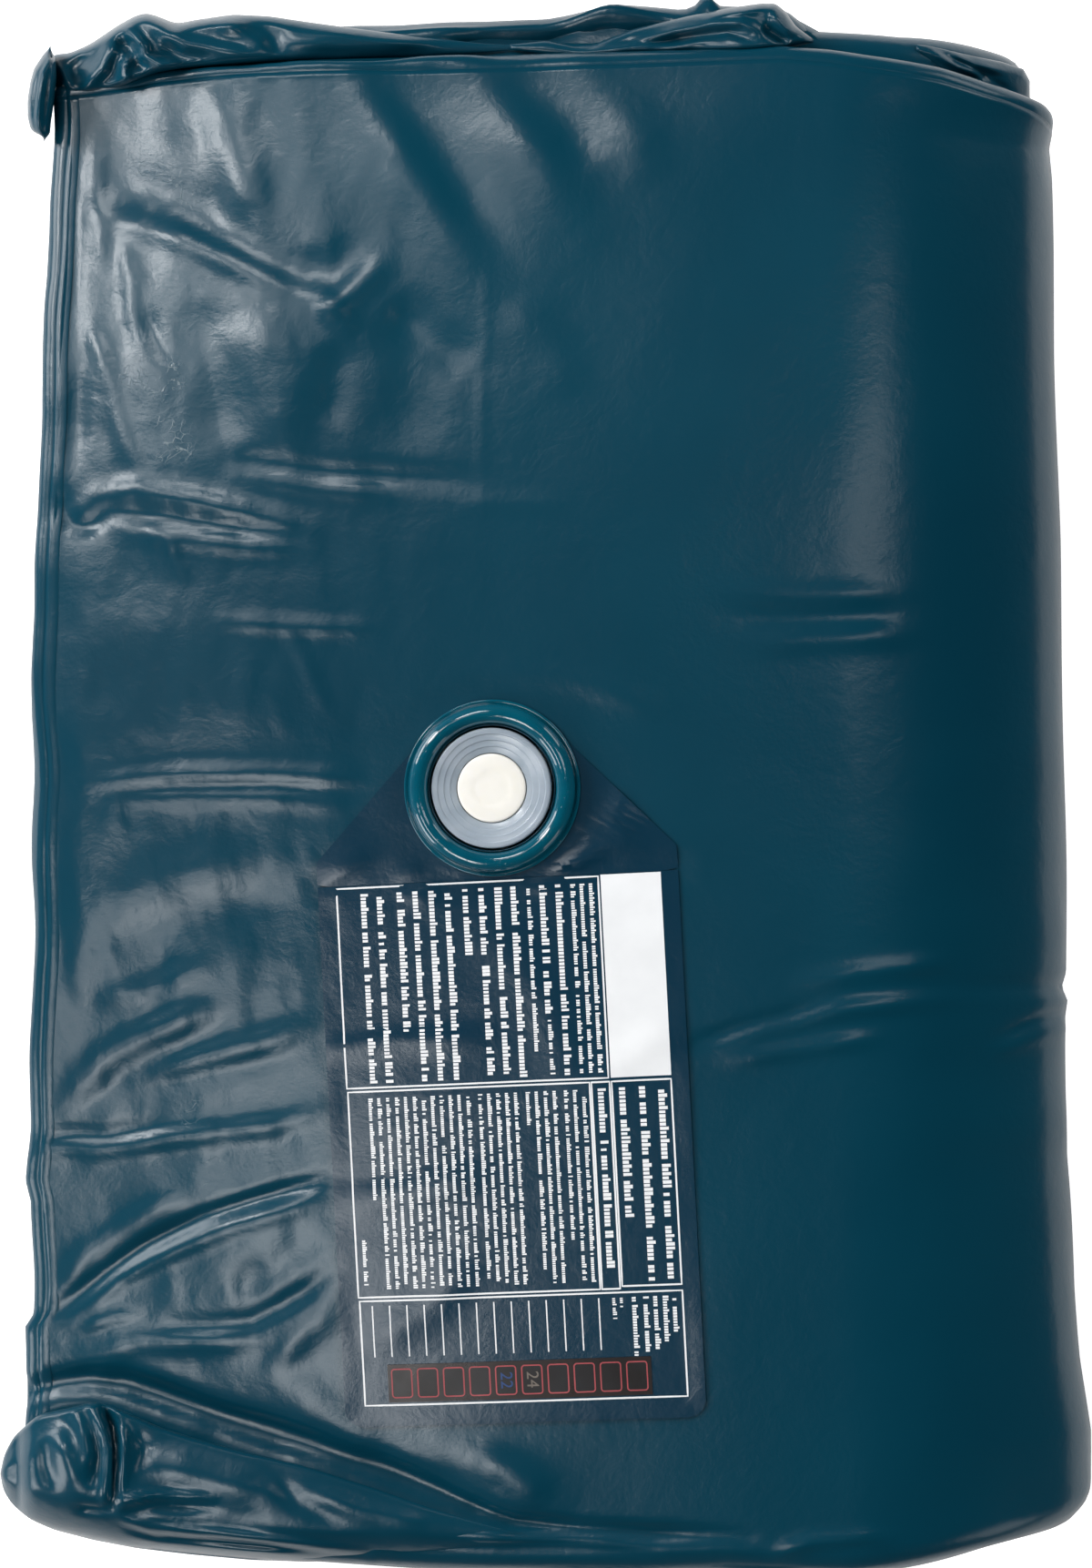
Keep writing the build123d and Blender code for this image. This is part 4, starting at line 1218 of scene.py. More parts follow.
def evened(values):
    """Values along a line with their corners eased; the ends stay."""
    for _ in range(3):
        values[1:-1] = 0.25 * values[:-2] + 0.5 * values[1:-1] + 0.25 * values[2:]
    return values


def resampled(line, count):
    """Points along a line of photo pixels, eased between its corners."""
    line = np.array(line, float)
    steps = np.concatenate(((0,), np.cumsum(np.hypot(*np.diff(line, axis=0).T))))
    at = steps[-1] * np.linspace(0, 1, count)
    return evened(np.stack((np.interp(at, steps, line[:, 0]), np.interp(at, steps, line[:, 1])), -1))


def foot_drop(px, py):
    """How far the deck has turned down near its foot and its left edge, in mm."""
    from_foot = FOOT_ROW + curve_of(FOOT_SHIFT, px) / PIXEL - py
    from_left = px - LEFT_COLUMN - curve_of(LEFT_SHIFT, py) / PIXEL
    drop = 0
    for inside, radius in ((from_foot, 2 * NOSE + 0.45), (from_left, NOSE)):
        into = np.clip(radius - inside * PIXEL, 0, radius)
        drop = drop - (radius - np.sqrt(radius ** 2 - into ** 2))
    return drop


def rounded_off(from_start, from_end):
    """0 at both ends of a stretch, rising to 1 along a quarter circle; both are shares of its length."""
    total = 1
    for near in (from_start, from_end):
        total = total * np.sqrt(np.maximum(1 - (1 - np.minimum(near, 1)) ** 2, 0))
    return total


def at_height_over_deck(px, py, height):
    """Points that the camera sees at photo pixels, at a height over the deck."""
    z = np.full(px.shape, 100.0)
    for _ in range(4):
        place = from_photo(px, py, z)
        z = deck_height(place[..., 0]) + height + sunk(px, py)
    return from_photo(px, py, z)


def turned_over(name, upper, lower, rise, floor, folds, material, edge, hang=0.32, under=None):
    """A corner of the bag turned over: a closed soft shape between two lines of photo pixels.

    Its edges are rounded over edge mm on top and under mm below, and hang at a share of its height."""
    rows, columns = 150, 46
    start, end = resampled(upper, rows), resampled(lower, rows)
    share = 0.5 - 0.5 * np.cos(math.pi * np.linspace(0, 1, columns))[None, :]
    px, py = (start[:, i:i + 1] * (1 - share) + end[:, i:i + 1] * share for i in (0, 1))
    along = np.linspace(0, 1, rows)[:, None]
    width = np.hypot(*(end - start).T)[:, None] * PIXEL
    ends = rounded_off(np.minimum(along, 1 - along) * rows / 7, 1)
    above, beneath = (
        rounded_off(share * width / reach[0], (1 - share) * width / reach[1]) * ends
        for reach in (edge, under or edge)
    )
    low = floor(px, py)
    height = rise(along, share)
    middle = low + hang * height
    top = middle + above * (height * (1 - hang) + line_heights(px, py, folds))
    rings = [at_height_over_deck(px, py, level) for level in (top, middle - beneath * (middle - low))]
    return loop_piece(name, np.concatenate((rings[0], rings[1][:, -2:0:-1]), axis=1), material)


def swell(along, base, *crests):
    """A height along a fold: its base, and crests of (height, place, width)."""
    return base + sum(height * np.exp(-((along - place) / width) ** 2) for height, place, width in crests)


FOOT_CORNER_RIM = (
    (1, 1618), (5, 1598), (16, 1577), (43, 1553), (78, 1546), (100, 1540), (113, 1541), (143, 1552),
    (173, 1566), (207, 1577), (260, 1592), (333, 1609), (417, 1636), (480, 1658), (554, 1680),
    (600, 1690),
)
FOOT_CORNER_EDGE = (
    (1, 1618), (4, 1636), (14, 1652), (33, 1668), (60, 1680), (103, 1691), (150, 1700), (210, 1707),
    (277, 1713), (340, 1715), (400, 1713), (450, 1709), (500, 1703), (550, 1697), (600, 1690),
)
FOOT_CORNER_FOLDS = (
    (-6.0, 5, ((113, 1536), (124, 1566), (128, 1600), (126, 1640), (123, 1656))),
    (3.2, 5, ((99, 1542), (112, 1566), (120, 1588), (120, 1612), (116, 1652))),
    (2.8, 5, ((134, 1562), (137, 1585), (134, 1615), (127, 1650))),
    (2.0, 7, ((78, 1542), (88, 1562), (99, 1592), (97, 1612))),
    (-2.4, 8, ((100, 1572), (108, 1600), (104, 1636))),
    (2.2, 12, ((62, 1570), (72, 1600), (84, 1634))),
    (-1.6, 8, ((50, 1580), (52, 1610), (62, 1640))),
    (-2.4, 4, ((84, 1656), (112, 1657), (128, 1656))),
    (2.6, 4, ((124, 1656), (140, 1647), (170, 1642), (235, 1645))),
    (-1.8, 6, ((130, 1663), (170, 1655), (240, 1653))),
    (2.6, 5, ((124, 1660), (140, 1669), (160, 1678), (237, 1684), (300, 1692), (400, 1705))),
    (-2.4, 4, ((138, 1676), (170, 1688), (240, 1693), (350, 1703))),
    (1.8, 4, ((140, 1688), (240, 1699), (350, 1708))),
    (1.4, 18, ((175, 1602), (225, 1616), (285, 1638))),
    (-1.5, 9, ((148, 1572), (160, 1590), (150, 1618))),
    (-1.2, 12, ((300, 1625), (330, 1650), (380, 1668))),
    (1.2, 14, ((340, 1640), (400, 1662), (470, 1680))),
    (-1.4, 16, ((160, 1632), (220, 1664), (300, 1674))),
)


def foot_corner_rise(along, share):
    """The corner's height: two crests along it, lower towards its lower edge and its end."""
    lies = (0.72 + 0.28 * smooth(share, 0.0, 0.4)) * (1 - 0.45 * smooth(share, 0.62, 1.0))
    tail = 1 - 0.85 * smooth(along, 0.75, 1.0)
    return swell(along, 2.6, (13.0, 0.17, 0.16), (8.0, 0.42, 0.26)) * lies * tail


def foot_corner_floor(px, py):
    return foot_drop(px, py) + 0.5


HEAD_CORNER_EDGE = (
    (52, 66), (58, 62), (66, 60), (76, 60), (99, 50), (130, 29), (150, 18), (162, 15), (174, 19),
    (194, 27), (221, 22), (257, 17), (297, 19), (336, 25), (380, 31), (450, 40), (530, 49), (600, 53),
)
HEAD_CORNER_RIM = (
    (52, 66), (54, 84), (60, 102), (72, 108), (99, 104), (130, 98), (150, 91), (172, 82), (200, 77),
    (240, 74), (290, 71), (340, 69), (390, 67), (450, 64), (520, 60), (600, 53),
)
HEAD_CORNER_FOLDS = (
    (4.5, 5, ((139, 30), (150, 42), (158, 52), (160, 63), (176, 72), (200, 76))),
    (-3.0, 6, ((126, 44), (142, 52), (148, 66), (160, 80))),
    (3.2, 5, ((150, 62), (137, 73), (137, 84), (146, 95))),
    (3.4, 9, ((92, 100), (113, 76), (122, 54), (130, 38))),
    (-2.6, 8, ((100, 104), (122, 84), (132, 62))),
    (2.4, 5, ((80, 100), (72, 84), (66, 70))),
    (-2.0, 7, ((88, 94), (84, 76), (96, 60))),
    (3.4, 9, ((166, 22), (182, 38), (206, 50), (240, 56), (290, 62))),
    (-2.8, 9, ((176, 48), (200, 62), (240, 68))),
    (2.6, 11, ((236, 26), (264, 33), (284, 46), (300, 62))),
    (-1.6, 11, ((262, 24), (292, 36), (312, 58))),
    (2.2, 12, ((305, 46), (350, 48), (400, 50), (470, 54))),
    (1.4, 7, ((340, 32), (400, 40), (480, 48))),
    (-1.6, 7, ((330, 60), (400, 60), (480, 58))),
)


def head_corner_rise(along, share):
    return swell(along, 4.5, (13.0, 0.22, 0.19), (7.5, 0.46, 0.24)) * (1 - 0.75 * smooth(along, 0.6, 1.0))


def head_corner_floor(px, py):
    return SHELF_FLOOR + 0 * px


def shelf_floor(px, py):
    """The shelf's height under the deck's plane, also where it turns down over the half fold."""
    place = from_photo(px, py, np.full(px.shape, 95.0))
    over = np.maximum(place[..., 0] - UPPER_START_X, 0)
    radius = CROWN.radius + STACK - PITCH
    return SHELF_FLOOR - (radius - np.sqrt(np.maximum(radius ** 2 - over ** 2, 0)) + 0.068 * over)


HEAD_FOLD_EDGE = (
    (560, 50), (600, 46), (632, 52), (652, 50), (672, 42), (696, 33), (730, 25), (765, 17), (800, 10),
    (835, 5), (852, 5), (863, 14), (874, 30), (893, 44),
)
HEAD_FOLD_RIM = (
    (560, 56), (600, 62), (632, 64), (660, 64), (690, 63), (720, 62), (750, 60), (780, 59), (810, 58),
    (835, 57), (852, 56), (866, 54), (880, 51), (893, 48),
)
HEAD_FOLD_FOLDS = (
    (2.6, 5, ((700, 46), (740, 36), (780, 28), (815, 26), (836, 36))),
    (-2.4, 5, ((720, 50), (760, 42), (800, 36), (826, 44))),
    (2.2, 5, ((640, 60), (690, 54), (740, 52), (780, 44))),
    (-2.6, 6, ((836, 30), (850, 38), (868, 50))),
    (2.2, 5, ((846, 14), (858, 28), (872, 42))),
    (1.5, 6, ((770, 22), (800, 16), (838, 11))),
)


def head_fold_rise(along, share):
    return swell(along, 3.5, (10.5, 0.78, 0.2), (2.5, 0.4, 0.2))


PLEAT_EDGE = (
    (1006, 50), (1017, 51), (1040, 56), (1070, 63), (1100, 69), (1124, 77), (1131, 90),
)
PLEAT_RIM = (
    (1006, 56), (1018, 66), (1040, 84), (1066, 96), (1092, 106), (1116, 116), (1131, 112),
)
PLEAT_FOLDS = (
    (2.6, 4, ((1021, 56), (1040, 68), (1064, 80), (1098, 98))),
    (-3.6, 6, ((1050, 84), (1080, 88), (1110, 104))),
    (2.2, 4, ((1040, 58), (1070, 72), (1106, 82))),
    (-1.8, 5, ((1040, 64), (1066, 72), (1100, 86))),
)


def pleat_rise(along, share):
    return swell(along, 3.0, (4.0, 0.75, 0.3))


# the ear's left and right edge in the photo, along its length
EAR_OUTER = (
    (0, 56), (0.06, 48), (0.2, 38), (0.35, 34), (0.55, 31), (0.75, 31), (0.9, 34), (0.97, 40), (1, 48),
)
EAR_INNER = (
    (0, 57), (0.06, 62), (0.3, 63), (0.6, 60), (0.8, 57), (0.93, 56), (1, 49),
)


def ear_of_head_corner(material):
    """The narrow end of the rolled head corner, which hangs out past the open edge."""
    share = np.linspace(0, 1, 60)
    outer = evened(curve_of(EAR_OUTER, share))
    half = ((evened(curve_of(EAR_INNER, share)) - outer) / 2)[:, None]
    bulge = (np.sqrt(np.maximum(1 - (2 * share - 1) ** 2, 0)) ** 0.7)[:, None]
    share, outer = share[:, None], outer[:, None]
    turns = np.linspace(0, math.tau, 48, endpoint=False)[None, :]
    crease = swell(turns, 0, (1.0, 1.25, 0.22), (0.8, 2.1, 0.2))
    deep = (13 * bulge + 0.2) * (1 - 0.22 * crease * np.sin(math.pi * share))
    px = outer + half + half * np.cos(turns)
    py = 58 + 95 * share + 4 * np.cos(turns) * (1 - bulge) + 5 * np.sin(turns) * smooth(share, 0.5, 0)
    z = 86 - 5 * share + deep * np.sin(turns)
    return loop_piece("head_corner_ear", from_photo(px, py, z), material)


def finish_material(name, colour, roughness, specular=0.5, coat=0.0, coat_roughness=0.1):
    """A material with its shader, and its tree for more nodes."""
    material = bpy.data.materials.new(name)
    material.use_nodes = True
    tree = material.node_tree
    shader = tree.nodes["Principled BSDF"]
    shader.inputs["Base Color"].default_value = (*colour, 1)
    shader.inputs["Roughness"].default_value = roughness
    shader.inputs["Specular IOR Level"].default_value = specular
    shader.inputs["Coat Weight"].default_value = coat
    shader.inputs["Coat Roughness"].default_value = coat_roughness
    material.diffuse_color = (*colour, 1)
    return material, tree, shader


def place_of(tree, scale=(1, 1, 1)):
    """The object's own coordinates, scaled."""
    coordinates = tree.nodes.new("ShaderNodeTexCoord")
    mapping = tree.nodes.new("ShaderNodeMapping")
    mapping.inputs["Scale"].default_value = scale
    link(tree, coordinates.outputs["Object"], mapping.inputs["Vector"])
    return mapping.outputs["Vector"]


def cloud(tree, vector, scale, detail=4.0, rough=0.55, twist=0.0):
    """Soft noise between 0 and 1."""
    noise = tree.nodes.new("ShaderNodeTexNoise")
    noise.inputs["Scale"].default_value = scale
    noise.inputs["Detail"].default_value = detail
    noise.inputs["Roughness"].default_value = rough
    noise.inputs["Distortion"].default_value = twist
    link(tree, vector, noise.inputs["Vector"])
    return noise.outputs["Fac"]


def spread(tree, value, low, high, to_low=0.0, to_high=1.0):
    """A value stretched from one range to another."""
    node = tree.nodes.new("ShaderNodeMapRange")
    node.inputs["From Min"].default_value = low
    node.inputs["From Max"].default_value = high
    node.inputs["To Min"].default_value = to_low
    node.inputs["To Max"].default_value = to_high
    link(tree, value, node.inputs["Value"])
    return node.outputs["Result"]


def blend_colours(tree, share, first, second):
    """A colour between two, each a tuple or a socket."""
    node = tree.nodes.new("ShaderNodeMix")
    node.data_type = "RGBA"
    for socket, colour in ((node.inputs["A"], first), (node.inputs["B"], second)):
        if isinstance(colour, tuple):
            socket.default_value = (*colour, 1)
        else:
            link(tree, colour, socket)
    link(tree, share, node.inputs["Factor"])
    return node.outputs["Result"]


def raised(tree, shader, layers):
    """Bumps of (height value, height in mm, strength), one over the other."""
    below = None
    for value, height, strength in layers:
        bump = tree.nodes.new("ShaderNodeBump")
        bump.inputs["Distance"].default_value = height * MM
        bump.inputs["Strength"].default_value = strength
        link(tree, value, bump.inputs["Height"])
        if below is not None:
            link(tree, below, bump.inputs["Normal"])
        below = bump.outputs["Normal"]
    link(tree, below, shader.inputs["Normal"])
    link(tree, below, shader.inputs["Coat Normal"])


def near_place(tree, place, centre, radius):
    """1 at a place on the piece, falling to 0 at a radius."""
    node = tree.nodes.new("ShaderNodeVectorMath")
    node.operation = "DISTANCE"
    link(tree, place, node.inputs[0])
    node.inputs[1].default_value = [c * MM for c in centre]
    return spread(tree, node.outputs["Value"], radius * MM, 0.25 * radius * MM)


def toned(tree, shader, share, first, second):
    """Gives the shader a colour between two, and returns it."""
    colour = blend_colours(tree, share, first, second)
    link(tree, colour, shader.inputs["Base Color"])
    return colour


def scattering(shader, weight, radius):
    """Light that spreads under the surface, by a radius in metres for each colour."""
    shader.inputs["Subsurface Weight"].default_value = weight
    shader.inputs["Subsurface Radius"].default_value = radius
    shader.inputs["Subsurface Scale"].default_value = 0.6


def seen_straight(tree):
    """1 for what the camera sees, also through a clear piece."""
    rays = tree.nodes.new("ShaderNodeLightPath")
    return sums(tree, "MAXIMUM", rays.outputs["Is Camera Ray"], rays.outputs["Is Transmission Ray"])


# height of the deck at the whitened creases with their painted glints, in mm
GLINT_SPOT_HEIGHT = 97.0

# places of the vinyl with fine creases, painted pale partly as stress whitening and partly as a painted
# glint: photo pixels and radius
CRINKLED_GLINT_SPOTS = (
    (158, 165, 30), (190, 205, 26), (145, 400, 22), (178, 415, 22), (186, 484, 26), (205, 1216, 18),
    (232, 1289, 16),
)


def creases(tree, place):
    """Sharp little creases in the whitened places; their pale colour is partly stress whitening and partly a
    painted glint.
    """
    shifted = tree.nodes.new("ShaderNodeVectorMath")
    shifted.operation = "ADD"
    link(tree, place, shifted.inputs[0])
    link(tree, sums(tree, "MULTIPLY", cloud(tree, place, 120.0, 2.0), 0.012), shifted.inputs[1])
    cracks = tree.nodes.new("ShaderNodeTexVoronoi")
    cracks.feature = "DISTANCE_TO_EDGE"
    cracks.inputs["Scale"].default_value = 210.0
    link(tree, shifted.outputs["Vector"], cracks.inputs["Vector"])
    total = None
    for px, py, radius in CRINKLED_GLINT_SPOTS:
        centre = from_photo(*np.array((px, py, GLINT_SPOT_HEIGHT), float))
        spot = near_place(tree, place, centre, radius * PIXEL * 1.4)
        total = spot if total is None else sums(tree, "MAXIMUM", total, spot)
    whitened_and_glinting = sums(tree, "MULTIPLY", total, spread(tree, cloud(tree, place, 90.0, 3.0), 0.46, 0.6))
    return sums(tree, "MULTIPLY", spread(tree, cracks.outputs["Distance"], 0.0, 0.05, 1.0, 0.0), whitened_and_glinting)


def vinyl(name, dark, light, glinting_crinkles=False):
    """Soft calendered vinyl: a mottled sheen, a fine grain, and sharp little creases in whitened places,
    whose pale colour is partly stress whitening and partly a painted glint.
    """
    material, tree, shader = finish_material(name, dark, 0.3, 0.08, 0.9, 0.225)
    place = place_of(tree)
    mottle = cloud(tree, place, 26.0, 6.0, 0.62, 0.4)
    cloudy = cloud(tree, place, 75.0, 5.0, 0.6, 0.5)
    pores = cloud(tree, place, 190.0, 4.0, 0.6, 0.3)
    fine = cloud(tree, place, 600.0, 3.0, 0.6)
    colour = toned(tree, shader, spread(tree, cloud(tree, place, 7.0, 3.0, 0.5), 0.35, 0.7), dark, light)
    link(tree, spread(tree, mottle, 0.32, 0.72, 0.28, 0.34), shader.inputs["Roughness"])
    layers = [(mottle, 0.6, 0.35), (cloudy, 0.4, 0.5), (pores, 0.12, 0.5), (fine, 0.05, 0.6)]
    if glinting_crinkles:
        crease_glints = creases(tree, place)
        layers.append((crease_glints, 0.2, 0.6))
        # the creases are painted a pale grey: partly stress whitening, partly a painted glint
        toned(tree, shader, sums(tree, "MULTIPLY", crease_glints, 0.55), colour, (0.42, 0.48, 0.49))
    raised(tree, shader, layers)
    return material


def glossy_collar():
    """Stiffer, shinier vinyl with a slow ripple and a few nicks."""
    material, tree, shader = finish_material("glossy_teal_pvc", (0.001, 0.085, 0.135), 0.09, 0.5, 1.0, 0.03)
    place = place_of(tree)
    share = spread(tree, cloud(tree, place, 40.0), 0.3, 0.7)
    toned(tree, shader, share, (0.001, 0.065, 0.105), (0.002, 0.095, 0.145))
    nicks = spread(tree, cloud(tree, place, 700.0, 2.0, 0.5), 0.66, 0.72)
    raised(tree, shader, [(cloud(tree, place, 110.0, 2.0, 0.5, 0.6), 0.22, 0.5), (nicks, 0.05, 0.6)])
    return material


def milky_ring():
    """Translucent plastic that light spreads in."""
    material, tree, shader = finish_material("milky_polypropylene", (0.36, 0.43, 0.50), 0.24, 0.5, 0.35, 0.1)
    scattering(shader, 0.25, (0.004, 0.004, 0.005))
    shader.inputs["Transmission Weight"].default_value = 0.12
    place = place_of(tree)
    share = spread(tree, cloud(tree, place, 70.0, 3.0), 0.3, 0.7)
    toned(tree, shader, share, (0.33, 0.40, 0.47), (0.44, 0.50, 0.57))
    raised(tree, shader, [(cloud(tree, place, 300.0, 2.0), 0.05, 0.25)])
    return material


def creamy_plug():
    """Warm white plastic, a little waxy."""
    material, tree, shader = finish_material("creamy_polythene", (0.86, 0.84, 0.78), 0.38, 0.45, 0.1, 0.2)
    scattering(shader, 0.2, (0.003, 0.0028, 0.0022))
    place = place_of(tree)
    share = spread(tree, cloud(tree, place, 60.0), 0.3, 0.7)
    toned(tree, shader, share, (0.84, 0.82, 0.75), (0.90, 0.88, 0.83))
    raised(tree, shader, [(cloud(tree, place, 500.0, 2.0), 0.03, 0.3)])
    return material


def plain_finish(name, first, second, roughness):
    """A plain plastic, rubber or ink with a slight change of tone and a fine grain."""
    material, tree, shader = finish_material(name, first, roughness, 0.45)
    place = place_of(tree)
    toned(tree, shader, spread(tree, cloud(tree, place, 45.0, 4.0), 0.35, 0.65), first, second)
    noise = cloud(tree, place, 80.0, 3.0)
    link(tree, spread(tree, noise, 0.3, 0.7, roughness * 0.85, roughness * 1.15), shader.inputs["Roughness"])
    raised(tree, shader, [(cloud(tree, place, 300.0, 3.0), 0.03, 0.5)])
    return material


def fleece_finish():
    """Pale wadding with its fibres."""
    material, tree, shader = finish_material("fleece_wadding", (0.72, 0.73, 0.70), 0.9, 0.2)
    fibres = cloud(tree, place_of(tree, (1, 1, 4)), 260.0, 5.0, 0.7, 1.5)
    toned(tree, shader, fibres, (0.62, 0.63, 0.60), (0.82, 0.83, 0.80))
    shader.inputs["Sheen Weight"].default_value = 0.3
    raised(tree, shader, [(fibres, 0.6, 0.6), (cloud(tree, place_of(tree), 40.0), 1.0, 0.4)])
    return material


def white_backdrop(name, level):
    """White where the camera sees it, a matt pale floor for everything else."""
    material, tree, shader = finish_material(name, (0.82, 0.82, 0.82), 0.9, 0.1)
    shader.inputs["Emission Color"].default_value = (1, 1, 1, 1)
    link(tree, sums(tree, "MULTIPLY", seen_straight(tree), level), shader.inputs["Emission Strength"])
    return material


def world_light():
    """A pale room: dim overhead and on the right, bright low on the left, and white where it is seen."""
    world = bpy.data.worlds.new("pale_room")
    bpy.context.scene.world = world
    world.use_nodes = True
    tree = world.node_tree
    background = tree.nodes["Background"]
    coordinates = tree.nodes.new("ShaderNodeTexCoord")
    split = tree.nodes.new("ShaderNodeSeparateXYZ")
    link(tree, coordinates.outputs["Generated"], split.inputs["Vector"])
    low = spread(tree, split.outputs["Z"], 0.35, 0.85, 1.0, 0.0)
    side = spread(tree, split.outputs["X"], -0.5, 0.35, 0.09, 0.02)
    glow = sums(tree, "ADD", sums(tree, "MULTIPLY", low, side), 0.003)
    background.inputs["Color"].default_value = (1, 1, 1, 1)
    link(tree, sums(tree, "MAXIMUM", glow, seen_straight(tree)), background.inputs["Strength"])


def softbox(name, place, target, width, height, power):
    """An area light in metres, facing a target."""
    light = bpy.data.lights.new(name, "AREA")
    light.shape = "RECTANGLE"
    light.size = width
    light.size_y = height
    light.energy = power
    holder = placed(name, light)
    holder.location = place
    holder.rotation_euler = (Vector(target) - Vector(place)).to_track_quat("-Z", "Y").to_euler()
    return holder


# the floor reaches so many metres from the middle
FLOOR_HALF = 6

# high windows: name, place and target in metres, width, height and power in watts
WINDOWS = (
    ("window_left_head", (-1.45, 0.92, 1.70), (-0.17, 0.23, 0.1), 0.3, 0.34, 8.0),
    ("window_left", (-0.98, 0.65, 1.70), (-0.12, 0.16, 0.1), 0.3, 0.34, 1.9),
    ("window_left_near", (-0.54, 0.65, 1.70), (-0.06, 0.16, 0.1), 0.3, 0.34, 0.6),
    ("window_left_middle", (-0.76, -0.30, 1.70), (-0.09, -0.08, 0.1), 0.3, 0.34, 1.5),
    ("window_left_foot", (-0.54, -0.60, 1.70), (-0.06, -0.15, 0.1), 0.3, 0.34, 2.0),
    ("window_foot", (-0.65, -0.90, 1.70), (-0.06, -0.22, 0.1), 0.5, 0.34, 2.5),
    ("window_head", (-0.65, 1.20, 1.70), (-0.06, 0.3, 0.1), 0.5, 0.34, 5.2),
    ("window_right", (0.48, 0.30, 1.60), (0.05, 0.12, 0.1), 0.2, 0.6, 1.0),
)


# low lamps: name, place in metres, size, power in watts, and the share of it that shines in the vinyl
LOW_LAMPS = (
    ("low_left_foot", (-1.7, -0.9, 0.8), 0.8, 15, 0.6),
    ("low_left_head", (-1.7, 0.9, 0.8), 0.8, 36, 0.35),
    ("low_right_foot", (1.5, -1.5, 0.8), 0.7, 12, 0.15),
    ("low_right_head", (1.5, 1.5, 0.8), 0.7, 24, 0.15),
)


def studio():
    """Camera, floor, and soft lights to both sides of the camera."""
    scene = bpy.context.scene
    camera = bpy.data.cameras.new("camera")
    camera.lens = LENS
    camera.sensor_width = SENSOR
    camera.clip_end = 100
    scene.camera = placed("camera", camera)
    scene.camera.location = (0, 0, EYE_HEIGHT * MM)
    scene.view_settings.view_transform = "Standard"
    grid = bpy.data.meshes.new("floor")
    corners = [(x * FLOOR_HALF, y * FLOOR_HALF, 0) for x, y in ((-1, -1), (1, -1), (1, 1), (-1, 1))]
    grid.from_pydata(corners, [], [(0, 1, 2, 3)])
    grid.materials.append(white_backdrop("white_floor", 0.8))
    placed("floor", grid)
    world_light()
    for window in WINDOWS:
        softbox(*window)
    for name, place, size, power, shine in LOW_LAMPS:
        softbox(name, place, (0, 0, 0.1), size, size, power * shine)
        dull = softbox(name + "_dull", place, (0, 0, 0.1), size, size, power * (1 - shine))
        dull.visible_glossy = False


def stand_for(piece, slot, *nodes, fill=None):
    """Hides the solids that a piece takes the place of; the piece, its finish slot and its filling are not
    used.
    """
    if nodes:
        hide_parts(*nodes)


# the hole in the deck sheet, and the heights on the valve between which sheets are opened, in mm
DECK_HOLE = 29.2
DECK_OPENED = (-12, 6)
FLEECE_OPENED = (-12.4, 6)

# the plies: number, place in the bag's thickness, how far short of the foot loop, and hole, in mm
FLEECE_THICK = 1.9
FLEECE_PLIES = ((1, 1.6, 88, 39.0), (2, -0.6, 12, 29.5), (3, -2.8, 12, 29.5))


def make_core(skin, fleece):
    """The folded bag: its two sheets, its bands, its patches, its seam, and the fleece inside."""
    fine = 2.3
    deck = mesh_piece("deck_skin", *core_sheet(True, fine), skin)
    cut_round_hole(deck, DECK_HOLE, *DECK_OPENED)
    stand_for(deck, "vinyl", "deck_sheet")
    base = mesh_piece("base_skin", *core_sheet(False, 1.6 * fine), skin)
    stand_for(base, "vinyl", "base_sheet")
    for name, rings, node in (
        ("upper_edge_band", side_band(True), "upper_side_band"),
        ("lower_edge_band", side_band(False), "lower_side_band"),
        ("head_edge_band", end_band(True, fine), "head_end_band"),
        ("foot_edge_band", end_band(False, 5), "foot_end_band"),
    ):
        stand_for(loop_piece(name, rings, skin), "vinyl", node)
    corners = [
        loop_piece(f"corner_{upper}_{head}", corner_patch(upper, head), skin, None)
        for upper in (True, False) for head in (True, False)
    ]
    patches = joined("bag_corner_patches", corners)
    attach(patches, "bladder")
    stand_for(patches, "vinyl", "corner_patches")
    stand_for(seam_strip(skin), "vinyl", "side_seam")
    for number, offset, short, hole in FLEECE_PLIES:
        piece = mesh_piece(f"fleece_{number}", *fleece_layer(offset, FLEECE_THICK, short), fleece)
        cut_round_hole(piece, hole, *FLEECE_OPENED)
        stand_for(piece, "fleece", f"fleece_ply_{number}", fill=0.1)
    stand_for(settled_straps(fleece), "fleece", "fleece_ties")


def make_corners(skin):
    """The foot corner turned over on the deck, and the rolled head corner with its ear and two folds."""
    foot = turned_over("foot_corner", FOOT_CORNER_RIM, FOOT_CORNER_EDGE, foot_corner_rise, foot_corner_floor,
                       FOOT_CORNER_FOLDS, skin, edge=(2.2, 5.0), hang=0.62, under=(9.0, 8.0))
    stand_for(foot, "vinyl", "foot_corner_roll", fill=0.3)
    head = turned_over("head_corner", HEAD_CORNER_EDGE, HEAD_CORNER_RIM, head_corner_rise, head_corner_floor,
                       HEAD_CORNER_FOLDS, skin, edge=(5.0, 4.0))
    stand_for(head, "vinyl", "head_corner_roll", fill=0.3)
    for name, edge, rim, rise, folds in (
        ("head_fold", HEAD_FOLD_EDGE, HEAD_FOLD_RIM, head_fold_rise, HEAD_FOLD_FOLDS),
        ("head_pleat", PLEAT_EDGE, PLEAT_RIM, pleat_rise, PLEAT_FOLDS),
    ):
        fold = turned_over(name, edge, rim, rise, shelf_floor, folds, skin, edge=(3.5, 3.0))
        stand_for(fold, "vinyl", fill=0.3)
    stand_for(ear_of_head_corner(skin), "vinyl", fill=0.3)


